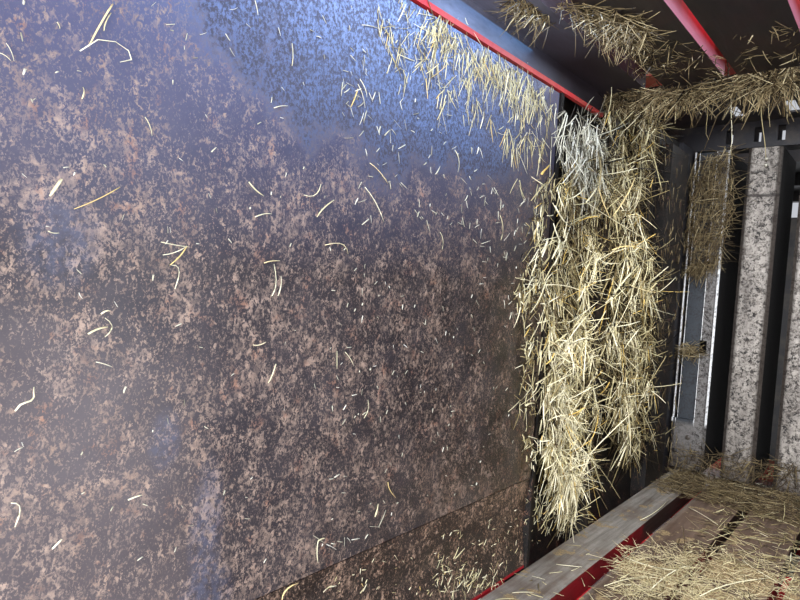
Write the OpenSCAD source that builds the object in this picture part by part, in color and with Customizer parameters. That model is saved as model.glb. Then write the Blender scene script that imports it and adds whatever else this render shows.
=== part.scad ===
// Bale chamber of a large square baler, open at the rear.
// X runs across, Y from the open rear end to the plunger's drive end, Z up.
// The origin is in the middle of the part's underside.

/* [Chamber] */
// Clear width between the side doors
chamber_w = 1200; // [1000:10:1300]
// Clear height between the floor and the ceiling
chamber_h = 1290; // [1150:10:1400]
// Length of the side doors
door_len = 1848; // [1500:4:2200]
// Length of the ceiling slats
ceiling_len = 2120; // [2120:10:2400]
// Rear end to the plunger's face at rear dead centre
face_y = 3160; // [3100:10:3400]

/* [Twine slots] */
// Spacing of the six twine slots
slot_pitch = 184.5; // [175:0.5:190]
// Width of the four inner slots
slot_w = 30; // [20:1:45]
// Width of the two outer slots
outer_slot_w = 48; // [30:1:55]
// Width of the needle slots in the plunger
needle_slot_w = 65; // [50:1:80]

/* [Slats] */
// Height of a floor or ceiling slat
slat_h = 60; // [40:2:90]
// Thickness of a slat's face
slat_t = 10; // [6:1:14]
// Thickness of a slat's flanges
flange_t = 8; // [5:1:12]

/* [Side doors] */
// Thickness of a door's skin
skin_t = 12; // [8:1:16]
// Bottom edge of a door above the floor
door_bottom = 244; // [200:2:300]
// Gap between a door's top edge and the ceiling
door_top_gap = 70; // [60:2:110]
// Depth of a door's stiffening frame
door_frame_d = 100; // [70:2:110]
// Side clearance round a moving door
door_gap = 6; // [5:1:12]
// Running gap at a door's hinged end
hinge_gap = 14; // [12:1:20]
// Width of an upright in the stiffening frame
door_post_w = 100; // [80:5:120]
// Height of a lengthwise tube in the stiffening frame
door_row_h = 60; // [50:2:80]

/* [Frame] */
// Height of the cross bearers
bearer_h = 120; // [80:5:160]
// Width of a cross bearer
bearer_w = 100; // [80:5:140]
// Wall thickness of the box tubes
tube_t = 8; // [5:1:10]
// Chamber wall's inner face to a side rail
rail_offset = 60; // [50:2:80]
// Width of a side rail
rail_w = 100; // [80:5:120]
// Height of a side rail
rail_h = 120; // [100:5:150]
// Depth of the straw recesses in the side walls
recess_d = 52; // [40:1:56]
// Height of the cross beams above the chamber
beam_h = 105; // [90:5:140]
// Width of the cross beams above the chamber
beam_w = 100; // [80:5:120]

/* [Side walls] */
// Thickness of the folded wall plates
wall_t = 8; // [5:1:10]
// Depth of the fold in the lower wall
fold_d = 14; // [6:1:24]

/* [Tension frame] */
// Middle of the tension frame from the rear end
tension_y = 380; // [340:10:500]
// Clear gap between the frame's two halves
tension_gap = 110; // [104:2:130]
// Width of one half
tension_w = 50; // [40:2:70]
// Depth of the side and top tubes
tension_d = 120; // [100:5:140]

/* [Cylinders] */
// Outside diameter of a barrel
barrel_d = 90; // [76:2:96]
// Rod diameter
rod_d = 50; // [40:1:56]
// Pin diameter
pin_d = 40; // [30:1:44]
// Length of a barrel from its pin to its gland
barrel_len = 212; // [200:1:214]
// A barrel's pin to the bottom of its bore
bore_back = 40; // [34:1:42]
// A barrel's pin to the rod's inner end at rest
rod_back = 78; // [76:1:90]
// Pin to pin length at rest, side cylinders
side_cyl_len = 280; // [275:1:300]
// Pin to pin length at rest, top cylinders
top_cyl_len = 290; // [285:1:310]
// Distance of each top cylinder from the middle
top_cyl_x = 300; // [220:5:360]
// Top cylinders' lower pins above the upper rails
top_pin_rise = 160; // [150:5:190]
// Slack round the pin in a rod's eye
eye_slack = 3; // [2:0.5:4]

/* [Hinges] */
// Hinge pin diameter
hinge_pin_d = 40; // [30:1:50]
// Outside diameter of a hinge barrel
hinge_barrel_d = 66; // [60:1:72]
// Height of a hinge barrel
hinge_barrel_h = 120; // [80:5:160]
// Side hinge barrels' clearance from the wall plate behind them
hinge_clear = 7; // [5:1:12]

/* [Plunger] */
// Stroke of the plunger
stroke = 740; // [600:10:760]
// How far the plunger's housing is wider than the doors on each side
housing_step = 38; // [30:1:44]
// Clearance between the plunger and the housing's walls
plunger_gap = 10; // [6:1:14]
// Depth of the plunger's columns
column_d = 350; // [300:10:400]
// Depth of the plunger's body behind the columns
body_d = 450; // [400:10:500]
// Thickness of the face plates
face_t = 16; // [10:1:20]
// Seam between the lower and the upper face plates below the ceiling
seam_drop = 143; // [130:1:290]
// How far the plunger's columns reach above the ceiling
column_rise = 46; // [20:1:50]
// Height of the outer columns' foot plates
foot_h = 190; // [150:5:240]
// Depth of the outer columns' sunk panels
panel_d = 20; // [12:1:30]
// Height of the plunger's body
body_h = 1060; // [900:10:1100]
// Underside of the plunger above the floor
plunger_lift = 8; // [6:1:20]
// Roller diameter
roller_d = 110; // [90:2:130]
// Roller width
roller_w = 40; // [30:1:44]
// Roller line above the floor
roller_h = 520; // [400:10:700]
// Diameter of the connecting rods' pin bores
conrod_bore_d = 80; // [60:1:100]
// Spacing of the connecting rods
conrod_pitch = 600; // [500:10:700]
// Connecting rods' pins above the floor
conrod_h = 600; // [500:10:700]
// Clear gap in a connecting rod's clevis
conrod_gap = 120; // [90:5:140]

/* [Drive end] */
// Length of the feed opening in the floor
feed_len = 800; // [600:10:840]
// Plunger's face to the start of the drive end's cover
cover_start = 400; // [340:10:600]
// Thickness of the flanges that the drive frame bolts to
front_flange_t = 20; // [12:1:30]
// Bolts of a drive flange, spacing across
flange_bolt_x = 60; // [50:2:70]
// Bolts of a drive flange, spacing up
flange_bolt_z = 300; // [200:10:500]
// Diameter of the bolt holes
chassis_hole_d = 22; // [16:1:26]
// Height and width of the cover's cross bars
cover_bar = 60; // [50:5:80]
// Thickness of the cover's sheet
cover_t = 6; // [3:1:8]
// Last stiffener of a housing wall to the drive end
web_back = 420; // [380:10:480]
// Last prop of a plunger rail to the post at the drive end
prop_back = 300; // [240:10:360]

/* [Hidden] */
$fn = 48;
run_fit = 0.1;
half_w = chamber_w / 2;
floor_z = bearer_h + slat_h;
ceil_z = floor_z + chamber_h;
door_z0 = floor_z + door_bottom;
door_z1 = ceil_z - door_top_gap;
door_mid_z = (door_z0 + door_z1) / 2;
rail_x = half_w + rail_offset;
frame_half = rail_x + rail_w;
upper_z = door_z1 + door_gap + 4;
upper_top = upper_z + rail_h;
recess_x = half_w + recess_d;
hinge_line_x = rail_x + hinge_barrel_d / 2 + hinge_clear;
hinge_y = door_len + 27;
fixed_y = door_len + hinge_gap;
door_frame_end = door_len - 20;
housing_x = half_w + housing_step;
post_y = hinge_y + hinge_barrel_d / 2 + 7;
stroke_margin = 50;
body_end = face_y + column_d + body_d;
front_y = body_end + stroke + stroke_margin + bearer_w;
wall_end = face_y - 130;
feed_y0 = face_y + 40;
feed_y1 = feed_y0 + feed_len;
slat_end = face_y + 30;
length = front_y + front_flange_t;

// Slots and slats, counted from the left
SLOTS = 6;
function slot_x(i) = (i - (SLOTS - 1) / 2) * slot_pitch;
function slot_width(i) = (i == 0 || i == SLOTS - 1) ? outer_slot_w : slot_w;
function slat_x0(i) = i == 0 ? -half_w : slot_x(i - 1) + slot_width(i - 1) / 2;
function slat_x1(i) = i == SLOTS ? half_w : slot_x(i) - slot_width(i) / 2;

// Moves the part from its rear end to the middle of its underside
module centred() {
    translate([0, -length / 2, 0]) children();
}

// Right-hand shapes are drawn once and mirrored for the left
module side(left) {
    if (left) mirror([1, 0, 0]) children();
    else children();
}

// A box from its low corner to its high corner
module box(low, high) {
    translate(low) cube(high - low);
}

// A box tube along one axis, 0 for X, 1 for Y and 2 for Z, open at both ends
module tube(low, high, along) {
    inset = [for (i = [0:2]) i == along ? -1 : tube_t];
    difference() {
        box(low, high);
        box(low + inset, high - inset);
    }
}

// A channel along Y whose face looks up or down, with both flanges on the far side
module channel(x0, x1, y0, y1, face_z, up) {
    dir = up ? -1 : 1;
    mirror([0, 0, dir < 0 ? 1 : 0]) translate([0, 0, dir * face_z]) {
        box([x0, y0, 0], [x1, y1, slat_t]);
        box([x0, y0, 0], [x0 + flange_t, y1, slat_h]);
        box([x1 - flange_t, y0, 0], [x1, y1, slat_h]);
    }
}

// Where the cross bearers lie, by the middle of each
bearer_y = [bearer_w / 2, tension_y, (tension_y + post_y) / 2, post_y + bearer_w / 2,
    (post_y + wall_end) / 2, face_y - bearer_w / 2, feed_y1 + bearer_w / 2,
    (feed_y1 + front_y) / 2 + bearer_w / 4, front_y - bearer_w / 2];
chassis_hole_x = frame_half - rail_w / 2;
chassis_rows = [0, len(bearer_y) - 1];

module base_bearers() {
    color("firebrick") difference() {
        for (y = bearer_y)
            tube([-frame_half, y - bearer_w / 2, 0], [frame_half, y + bearer_w / 2, bearer_h], 0);
        for (row = chassis_rows, x = [-chassis_hole_x, chassis_hole_x])
            translate([x, bearer_y[row], -1]) cylinder(d = chassis_hole_d, h = tube_t + 2);
    }
}

module lower_rail(left) {
    color("firebrick") side(left)
        tube([rail_x, 0, bearer_h], [frame_half, front_y, bearer_h + rail_h], 1);
}

module upper_rail(left) {
    color("firebrick") side(left)
        tube([rail_x, 0, upper_z], [frame_half, front_y, upper_top], 1);
}

module floor_slats() {
    color("dimgray")
        for (i = [0:SLOTS]) channel(slat_x0(i), slat_x1(i), 0, slat_end, floor_z, true);
}

// Pan under the drive end, past the feed opening
module front_floor() {
    color("dimgray") {
        box([-plunger_half, feed_y1, bearer_h], [plunger_half, front_y, bearer_h + wall_t]);
        box([-plunger_half, feed_y1, bearer_h], [plunger_half, feed_y1 + wall_t, floor_z]);
    }
}

// Folded strip below a side door, held on the lower rail by gussets
lower_wall_top = door_bottom - door_gap;
gusset_pitch = 400;
module lower_wall(left) {
    fold_z = lower_wall_top / 2;
    lean = 6;
    face = [[half_w + lean, 0], [half_w + lean + fold_d, fold_z], [half_w + lean, lower_wall_top]];
    color("saddlebrown") side(left) {
        translate([0, fixed_y, floor_z]) rotate([90, 0, 0]) linear_extrude(fixed_y)
            polygon(concat(face, [[frame_half - 20, lower_wall_top],
                [frame_half - 20, lower_wall_top - wall_t],
                [half_w + lean + wall_t, lower_wall_top - wall_t],
                [half_w + lean + fold_d + wall_t, fold_z], [half_w + lean + wall_t, 0]]));
        for (y = [gusset_pitch / 2:gusset_pitch:fixed_y])
            box([rail_x, y, bearer_h + rail_h],
                [frame_half - 20, y + wall_t, floor_z + lower_wall_top - wall_t]);
    }
}

// Fixed corner above a side door, from the wall to the outermost ceiling slot
lip_h = 14;
lip_z = door_z1 + door_gap;
module upper_corner(left) {
    x0 = slat_x0(SLOTS);
    color("dimgray") side(left) {
        box([x0, 0, ceil_z], [rail_x, fixed_y, ceil_z + slat_t]);
        box([x0, fixed_y - 1, ceil_z], [recess_x, ceiling_len, ceil_z + slat_t]);
        box([half_w, 0, lip_z], [half_w + wall_t, ceiling_len, ceil_z + slat_t]);
        box([x0, 0, ceil_z], [x0 + flange_t, ceiling_len, ceil_z + slat_h]);
        box([half_w - 3, 0, lip_z], [half_w, ceiling_len, lip_z + lip_h]);
    }
}

// Hinge levels of a side door and lugs round its pin
hinge_levels = [door_z0 + 160, door_mid_z, door_z1 - 160];
lug_t = 20;
lug_gap = 2;
module hinge_post(left) {
    color("firebrick") side(left) {
        tube([rail_x, post_y, bearer_h + rail_h], [frame_half, post_y + bearer_w, upper_z], 2);
        for (z = hinge_levels) {
            for (s = [-1, 1]) {
                lug_z = z + s * (hinge_barrel_h / 2 + lug_gap + lug_t / 2) - lug_t / 2;
                translate([hinge_line_x, hinge_y, lug_z]) cylinder(d = hinge_barrel_d, h = lug_t);
                box([hinge_line_x - hinge_barrel_d / 2, hinge_y, lug_z],
                    [hinge_line_x + hinge_barrel_d / 2, post_y, lug_z + lug_t]);
            }
            translate([hinge_line_x, hinge_y, z - hinge_barrel_h / 2 - lug_gap - lug_t])
                cylinder(d = hinge_pin_d, h = hinge_barrel_h + 2 * (lug_gap + lug_t));
        }
    }
}

// Vertical ribs of the recessed wall: column 0 is the start and column 1 the end along Y
recess_ribs = [[fixed_y, fixed_y + 14], [2195, 2255], [2780, wall_end - 45]];
module recess_wall(left) {
    color("saddlebrown") side(left) {
        box([recess_x, fixed_y, bearer_h], [rail_x, wall_end, upper_top]);
        for (rib = recess_ribs) {
            top = rib[0] < ceiling_len ? lip_z : ceil_z;
            difference() {
                box([half_w, rib[0], bearer_h], [recess_x, rib[1], top]);
                if (rib[1] - rib[0] > 4 * wall_t)
                    box([half_w + wall_t, rib[0] + wall_t, bearer_h - 1],
                        [recess_x + 1, rib[1] - wall_t, top + 1]);
            }
        }
    }
}

// Wall beside the plunger, cut for the roller axles, with a grooved rear edge
axle_slot_h = 90;
rail_start = face_y + column_d - 50;
module housing_wall(left) {
    groove = [20, 50];
    x1 = housing_x + wall_t;
    color("slategray") side(left) {
        difference() {
            box([housing_x, wall_end, bearer_h], [x1, front_y, upper_top]);
            box([housing_x - 1, rail_start, floor_z + roller_h - axle_slot_h / 2],
                [x1 + 1, front_y + 1, floor_z + roller_h + axle_slot_h / 2]);
            box([housing_x - 1, wall_end + groove[0], floor_z + 60],
                [x1 + 1, wall_end + groove[1], ceil_z]);
        }
        box([x1, wall_end, bearer_h], [rail_x, wall_end + wall_t, upper_top]);
        for (y = [feed_y0, feed_y1 - bearer_w, front_y - web_back])
            for (z = [[bearer_h, floor_z + roller_h - 140], [floor_z + roller_h + 140, upper_top]])
                box([x1, y, z[0]], [rail_x, y + wall_t, z[1]]);
    }
}

// Channel that the rollers run in
rail_flange_t = 12;
roller_run = 0.5;
roller_top_gap = 4;
roller_x = housing_x + 14;
web_x = roller_x + roller_w + 5;
rail_back = max(web_x, rail_x) + wall_t;
module plunger_rail(left) {
    z0 = floor_z + roller_h - roller_d / 2 - roller_run;
    z1 = floor_z + roller_h + roller_d / 2 + roller_top_gap;
    color("slategray") side(left) {
        box([housing_x + wall_t, rail_start, z0 - rail_flange_t], [web_x, front_y, z0]);
        box([housing_x + wall_t, rail_start, z1], [web_x, front_y, z1 + rail_flange_t]);
        box([web_x, rail_start, z0 - rail_flange_t], [rail_back, front_y, z1 + rail_flange_t]);
        for (y = [rail_start, feed_y1, front_y - bearer_w - prop_back])
            tube([rail_back, y, bearer_h + rail_h], [frame_half, y + 80, upper_z], 2);
    }
}

// Half of the frame that takes the cylinders' pull: two tubes with the cylinder between them
side_pin_x = frame_half + 40;
side_anchor_x = side_pin_x + side_cyl_len;
top_pin_z = upper_top + top_pin_rise;
top_anchor_z = top_pin_z + top_cyl_len;
head_z = top_pin_z - 20;
ear_gap = 110;
ear_t = 20;
tension_rows = [tension_y - tension_gap / 2 - tension_w, tension_y + tension_gap / 2];
module tension_post(left) {
    color("firebrick") side(left) {
        for (y = tension_rows)
            tube([frame_half, y, 0], [frame_half + tension_d, y + tension_w, head_z], 2);
        for (s = [-1, 1]) {
            ear_z = door_mid_z + s * (ear_gap / 2 + ear_t / 2) - ear_t / 2;
            box([frame_half + tension_d, tension_rows[0], ear_z],
                [side_anchor_x + 35, tension_rows[1] + tension_w, ear_z + ear_t]);
        }
        box([side_anchor_x + 35, tension_rows[0], door_mid_z - ear_gap / 2 - ear_t],
            [side_anchor_x + 47, tension_rows[1] + tension_w, door_mid_z + ear_gap / 2 + ear_t]);
        translate([side_anchor_x, tension_y, door_mid_z - ear_gap / 2 - ear_t])
            cylinder(d = pin_d, h = ear_gap + 2 * ear_t);
    }
}

module tension_head() {
    color("firebrick") {
        for (y = tension_rows)
            tube([-frame_half - tension_d, y, head_z],
                [frame_half + tension_d, y + tension_w, head_z + beam_h], 0);
        for (c = [-1, 1]) {
            for (s = [-1, 1]) {
                ear_x = c * top_cyl_x + s * (ear_gap / 2 + ear_t / 2) - ear_t / 2;
                box([ear_x, tension_rows[0], head_z + beam_h],
                    [ear_x + ear_t, tension_rows[1] + tension_w, top_anchor_z + 35]);
            }
            translate([c * top_cyl_x - ear_gap / 2 - ear_t, tension_y, top_anchor_z])
                rotate([0, 90, 0]) cylinder(d = pin_d, h = ear_gap + 2 * ear_t);
        }
    }
}

// Cross beam with the top door's hinge lugs
top_hinge_y = ceiling_len + 30;
top_hinge_z = ceil_z + slat_h + 40;
top_hinge_x = [-330, 0, 330];
beam_y = top_hinge_y + 45;
module hinge_beam() {
    color("firebrick") {
        tube([-frame_half, beam_y, upper_top], [frame_half, beam_y + beam_w, upper_top + beam_h], 0);
        for (x = top_hinge_x) {
            for (s = [-1, 1]) {
                lug_x = x + s * (hinge_barrel_h / 2 + lug_gap + lug_t / 2) - lug_t / 2;
                translate([lug_x, top_hinge_y, top_hinge_z]) rotate([0, 90, 0])
                    cylinder(d = hinge_barrel_d, h = lug_t);
                box([lug_x, top_hinge_y, top_hinge_z - hinge_barrel_d / 2],
                    [lug_x + lug_t, beam_y, top_hinge_z + hinge_barrel_d / 2]);
            }
            translate([x - hinge_barrel_h / 2 - lug_gap - lug_t, top_hinge_y, top_hinge_z])
                rotate([0, 90, 0]) cylinder(d = hinge_pin_d, h = hinge_barrel_h + 2 * (lug_gap + lug_t));
        }
    }
}

// Cross beam above the plunger's face, with a pair of windows beside each twine slot
knotter_y = face_y + 60;
window_x = 51;
window_w = 26;
window_z = [22, 82];
module knotter_beam() {
    color("slategray") difference() {
        tube([-frame_half, knotter_y, upper_top], [frame_half, knotter_y + beam_w, upper_top + beam_h], 0);
        for (i = [0:SLOTS - 1], s = [-1, 1])
            box([slot_x(i) + s * window_x - window_w / 2, knotter_y - 1, upper_top + window_z[0]],
                [slot_x(i) + s * window_x + window_w / 2, knotter_y + beam_w + 1,
                    upper_top + window_z[1]]);
    }
}

// Table between the two cross beams, slotted for the needles, with a skirt on each side
deck_t = 8;
deck_slot_w = 36;
deck_slot_y = [-180, -20];
module knotter_deck() {
    z = upper_top + beam_h;
    color("slategray") {
        difference() {
            box([-frame_half, beam_y, z], [frame_half, knotter_y + beam_w, z + deck_t]);
            for (i = [0:SLOTS - 1])
                box([slot_x(i) - deck_slot_w / 2, face_y + deck_slot_y[0], z - 1],
                    [slot_x(i) + deck_slot_w / 2, face_y + deck_slot_y[1], z + deck_t + 1]);
        }
        for (x = [-frame_half, frame_half - deck_t])
            box([x, beam_y + beam_w, upper_top], [x + deck_t, knotter_y, z]);
    }
}

cover_y = face_y + cover_start;
module housing_cover() {
    color("firebrick") {
        for (y = [cover_y, (cover_y + front_y) / 2, front_y - cover_bar])
            box([-frame_half, y, upper_top], [frame_half, y + cover_bar, upper_top + cover_bar]);
        box([-frame_half, cover_y, upper_top + cover_bar],
            [frame_half, front_y, upper_top + cover_bar + cover_t]);
    }
}

// Posts at the drive end with the flanges that the drive frame bolts to
module front_posts() {
    color("firebrick") for (left = [true, false]) side(left) difference() {
        union() {
            tube([rail_back, front_y - bearer_w, bearer_h + rail_h], [frame_half, front_y, upper_z], 2);
            box([rail_x, front_y, bearer_h + rail_h], [frame_half, front_y + front_flange_t, upper_z]);
        }
        for (x = [-1, 1], z = [-1, 1])
            translate([(rail_x + frame_half) / 2 + x * flange_bolt_x / 2, front_y - 1,
                (bearer_h + rail_h + upper_z) / 2 + z * flange_bolt_z / 2])
                rotate([-90, 0, 0]) cylinder(d = chassis_hole_d, h = front_flange_t + 2);
    }
}

module door_skin(left) {
    color("dimgray") side(left)
        box([half_w, 0, door_z0], [half_w + skin_t, door_len, door_z1]);
}

// Stiffening frame of a side door, its hinge barrels and the bracket for the rod's eye
door_rows = 4;
door_bays = 4;
bay_y = tension_y - 60;
bay_step = (door_frame_end - door_post_w - bay_y) / door_bays;
door_posts = concat([0], [for (i = [0:door_bays]) bay_y + i * bay_step]);
module door_frame(left) {
    x0 = half_w + skin_t;
    x1 = x0 + door_frame_d;
    row_h = door_row_h;
    post_w = door_post_w;
    row_step = (door_z1 - door_z0 - row_h) / (door_rows - 1);
    row_z = [for (i = [0:door_rows - 1]) door_z0 + i * row_step];
    color("firebrick") side(left) difference() {
        union() {
            difference() {
                union() {
                    for (z = row_z) box([x0, 0, z], [x1 - 20, door_frame_end, z + row_h]);
                    for (y = door_posts) box([x0, y, door_z0], [x1, y + post_w, door_z1]);
                }
                for (z = row_z)
                    box([x0 + tube_t, -1, z + tube_t],
                        [x1 - 20 - tube_t, door_frame_end - tube_t, z + row_h - tube_t]);
                for (y = door_posts)
                    box([x0 + tube_t, y + tube_t, door_z0 - 1],
                        [x1 - tube_t, y + post_w - tube_t, door_z1 + 1]);
            }
            for (z = hinge_levels) {
                translate([hinge_line_x, hinge_y, z - hinge_barrel_h / 2])
                    cylinder(d = hinge_barrel_d, h = hinge_barrel_h);
                box([x0, door_len - 100, z - hinge_barrel_h / 2],
                    [hinge_line_x, door_len, z + hinge_barrel_h / 2]);
                box([hinge_line_x - hinge_barrel_d / 2 + 4, door_len - 100, z - hinge_barrel_h / 2],
                    [hinge_line_x + hinge_barrel_d / 2 - 8, hinge_y, z + hinge_barrel_h / 2]);
            }
            for (s = [-1, 1]) {
                ear_z = door_mid_z + s * 40 - 10;
                box([x1 - 1, tension_y - 30, ear_z], [side_pin_x, tension_y + 30, ear_z + 20]);
                translate([side_pin_x, tension_y, ear_z]) cylinder(d = 60, h = 20);
            }
            translate([side_pin_x, tension_y, door_mid_z - 50]) cylinder(d = pin_d, h = 100);
        }
        for (z = hinge_levels)
            translate([hinge_line_x, hinge_y, z - hinge_barrel_h / 2 - 1])
                cylinder(d = hinge_pin_d + 2 * run_fit, h = hinge_barrel_h + 2);
    }
}

module top_slats() {
    color("dimgray")
        for (i = [1:SLOTS - 1]) channel(slat_x0(i), slat_x1(i), 0, ceiling_len, ceil_z, false);
}

// Cross ribs on the ceiling slats, their hinge barrels and the brackets for the rods' eyes
top_rib_step = (ceiling_len - beam_w - 20 - bay_y) / door_bays;
top_rib_y = concat([0], [for (i = [0:door_bays]) bay_y + i * top_rib_step]);
top_rib_h = 80;
module top_door_frame() {
    z0 = ceil_z + slat_h;
    half = slat_x1(SLOTS - 1);
    color("firebrick") difference() {
        union() {
            for (y = top_rib_y) tube([-half, y, z0], [half, y + beam_w, z0 + top_rib_h], 0);
            for (x = top_hinge_x) {
                translate([x - hinge_barrel_h / 2, top_hinge_y, top_hinge_z]) rotate([0, 90, 0])
                    cylinder(d = hinge_barrel_d, h = hinge_barrel_h);
                box([x - hinge_barrel_h / 2, ceiling_len - 30, top_hinge_z - 25],
                    [x + hinge_barrel_h / 2, top_hinge_y, top_hinge_z + 25]);
            }
            for (c = [-1, 1]) {
                for (s = [-1, 1]) {
                    ear_x = c * top_cyl_x + s * 40 - 10;
                    box([ear_x, tension_y - 30, z0 + top_rib_h - 1],
                        [ear_x + 20, tension_y + 30, top_pin_z]);
                    translate([ear_x, tension_y, top_pin_z]) rotate([0, 90, 0]) cylinder(d = 60, h = 20);
                }
                translate([c * top_cyl_x - 50, tension_y, top_pin_z]) rotate([0, 90, 0])
                    cylinder(d = pin_d, h = 100);
            }
        }
        for (x = top_hinge_x)
            translate([x - hinge_barrel_h / 2 - 1, top_hinge_y, top_hinge_z]) rotate([0, 90, 0])
                cylinder(d = hinge_pin_d + 2 * run_fit, h = hinge_barrel_h + 2);
    }
}

// A hydraulic cylinder lies along +X from its rod's pin at the origin to its barrel's pin
module barrel(length) {
    eye_d = 70;
    color("dimgray") difference() {
        union() {
            translate([length - barrel_len, 0, 0]) rotate([0, 90, 0])
                cylinder(d = barrel_d, h = barrel_len - eye_d / 2 + 5);
            translate([length, 0, -50]) cylinder(d = eye_d, h = 100);
        }
        translate([length, 0, -51]) cylinder(d = pin_d + 2 * run_fit, h = 102);
        translate([length - barrel_len - 1, 0, 0]) rotate([0, 90, 0])
            cylinder(d = rod_d + 2 * run_fit, h = barrel_len - bore_back + 1);
    }
}

module rod(length) {
    eye_d = pin_d + 2 * eye_slack + 20;
    color("silver") difference() {
        union() {
            translate([eye_d / 2 - 4, 0, 0]) rotate([0, 90, 0])
                cylinder(d = rod_d, h = length - rod_back - eye_d / 2 + 4);
            translate([0, 0, -27]) cylinder(d = eye_d, h = 54);
        }
        translate([0, 0, -28]) cylinder(d = pin_d + 2 * eye_slack, h = 56);
    }
}

module at_side(left) {
    side(left) translate([side_pin_x, tension_y, door_mid_z]) children();
}

module at_top(left) {
    side(left) translate([top_cyl_x, tension_y, top_pin_z]) rotate([0, -90, 0]) children();
}

// Columns of the plunger's face, counted from the left
plunger_half = housing_x - plunger_gap;
column_z = [floor_z + plunger_lift, ceil_z - seam_drop, ceil_z + column_rise];
function column_x0(i) = i == 0 ? -plunger_half : slot_x(i - 1) + needle_slot_w / 2;
function column_x1(i) = i == SLOTS ? plunger_half : slot_x(i) - needle_slot_w / 2;
bevel = 12;
module column(x0, x1, z0, z1, back) {
    translate([0, face_y, z0]) linear_extrude(z1 - z0)
        polygon([[x0, back + bevel], [x0 + bevel, back], [x1 - bevel, back], [x1, back + bevel],
            [x1, column_d], [x1 - flange_t, column_d], [x1 - flange_t, face_t + back],
            [x0 + flange_t, face_t + back], [x0 + flange_t, column_d], [x0, column_d]]);
}

// An outer column has a sunk panel and a groove beside its face, above a flat foot
groove_d = 60;
strap_h = 18;
notch_rows = [[300, 355], [655, 685]];
module outer_column(z0, z1, back) {
    x0 = column_x0(SLOTS);
    rim_x = plunger_half - flange_t;
    span = rim_x - x0 - bevel;
    strip_x = x0 + bevel + 0.31 * span;
    panel_x = x0 + bevel + 0.93 * span;
    rear = face_y + back;
    difference() {
        translate([0, 0, z0]) linear_extrude(z1 - z0)
            polygon([[x0, rear + bevel], [x0 + bevel, rear], [strip_x, rear], [strip_x, rear + panel_d],
                [panel_x, rear + panel_d], [panel_x, rear + groove_d], [rim_x, rear + groove_d],
                [rim_x, rear + 6], [plunger_half, rear + 6], [plunger_half, face_y + column_d],
                [rim_x, face_y + column_d], [rim_x, rear + groove_d + flange_t],
                [panel_x - flange_t, rear + groove_d + flange_t],
                [panel_x - flange_t, rear + panel_d + face_t],
                [x0 + flange_t, rear + panel_d + face_t], [x0 + flange_t, face_y + column_d],
                [x0, face_y + column_d]]);
        for (row = notch_rows)
            box([x0 + bevel + 0.1 * span, rear - 1, column_z[0] + foot_h + row[0]],
                [x0 + bevel + 0.38 * span, rear + panel_d + face_t + 1, column_z[0] + foot_h + row[1]]);
    }
    if (back == 0) box([strip_x - 1, rear - 6, z0], [plunger_half, rear + 6, z0 + strap_h]);
}

module plunger_face() {
    color("darkgray") {
        for (i = [1:SLOTS - 1], back = [0, 1])
            column(column_x0(i), column_x1(i), column_z[back], column_z[back + 1], 6 * back);
        for (left = [true, false]) side(left) {
            column(column_x0(SLOTS), plunger_half, column_z[0], column_z[0] + foot_h, 0);
            outer_column(column_z[0] + foot_h, column_z[1], 0);
            outer_column(column_z[1], column_z[2], 6);
        }
    }
}

// Body behind the columns, with the rollers' axles and the connecting rods' clevises
roller_y = [body_end - body_d + 80, body_end - 80];
axle_d = 40;
conrod_y = body_end - 160;
conrod_z = floor_z + conrod_h;
clevis_t = 20;
module plunger_body() {
    y0 = face_y + column_d;
    z0 = floor_z + 40;
    z1 = z0 + body_h;
    side_x = plunger_half - 4;
    color("slategray") difference() {
        union() {
            box([-side_x, y0, z0], [side_x, y0 + 12, z1]);
            for (x = [-side_x, side_x - 12]) box([x, y0, z0], [x + 12, body_end, z1]);
            for (z = [z0, z1 - 12]) box([-side_x, y0, z], [side_x, body_end, z + 12]);
            for (c = [-1, 1], s = [-1, 1]) {
                plate_x = c * conrod_pitch / 2 + s * (conrod_gap + clevis_t) / 2 - clevis_t / 2;
                box([plate_x, y0, z0], [plate_x + clevis_t, body_end, z1]);
            }
            for (left = [true, false], y = roller_y) side(left)
                translate([side_x - 1, y, floor_z + roller_h]) rotate([0, 90, 0])
                    cylinder(d = axle_d, h = roller_x + roller_w - side_x + 1);
        }
        for (c = [-1, 1])
            translate([c * conrod_pitch / 2 - conrod_gap / 2 - clevis_t - 1, conrod_y, conrod_z])
                rotate([0, 90, 0]) cylinder(d = conrod_bore_d, h = conrod_gap + 2 * clevis_t + 2);
    }
}

module roller(left, y) {
    color("silver") side(left) translate([roller_x, y, floor_z + roller_h]) rotate([0, 90, 0]) difference() {
        cylinder(d = roller_d, h = roller_w);
        translate([0, 0, -1]) cylinder(d = axle_d + 2 * run_fit, h = roller_w + 2);
    }
}

centred() base_bearers();
centred() lower_rail(true);  // lower_rail_left
centred() lower_rail(false);  // lower_rail_right
centred() upper_rail(true);  // upper_rail_left
centred() upper_rail(false);  // upper_rail_right
centred() floor_slats();
centred() front_floor();
centred() lower_wall(true);  // lower_wall_left
centred() lower_wall(false);  // lower_wall_right
centred() upper_corner(true);  // upper_corner_left
centred() upper_corner(false);  // upper_corner_right
centred() hinge_post(true);  // hinge_post_left
centred() hinge_post(false);  // hinge_post_right
centred() recess_wall(true);  // recess_wall_left
centred() recess_wall(false);  // recess_wall_right
centred() housing_wall(true);  // housing_wall_left
centred() housing_wall(false);  // housing_wall_right
centred() plunger_rail(true);  // plunger_rail_left
centred() plunger_rail(false);  // plunger_rail_right
centred() tension_post(true);  // tension_post_left
centred() tension_post(false);  // tension_post_right
centred() tension_head();
centred() hinge_beam();
centred() knotter_beam();
centred() knotter_deck();
centred() housing_cover();
centred() front_posts();
centred() door_skin(true);  // door_skin_left
centred() door_frame(true);  // door_frame_left
centred() door_skin(false);  // door_skin_right
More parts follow.
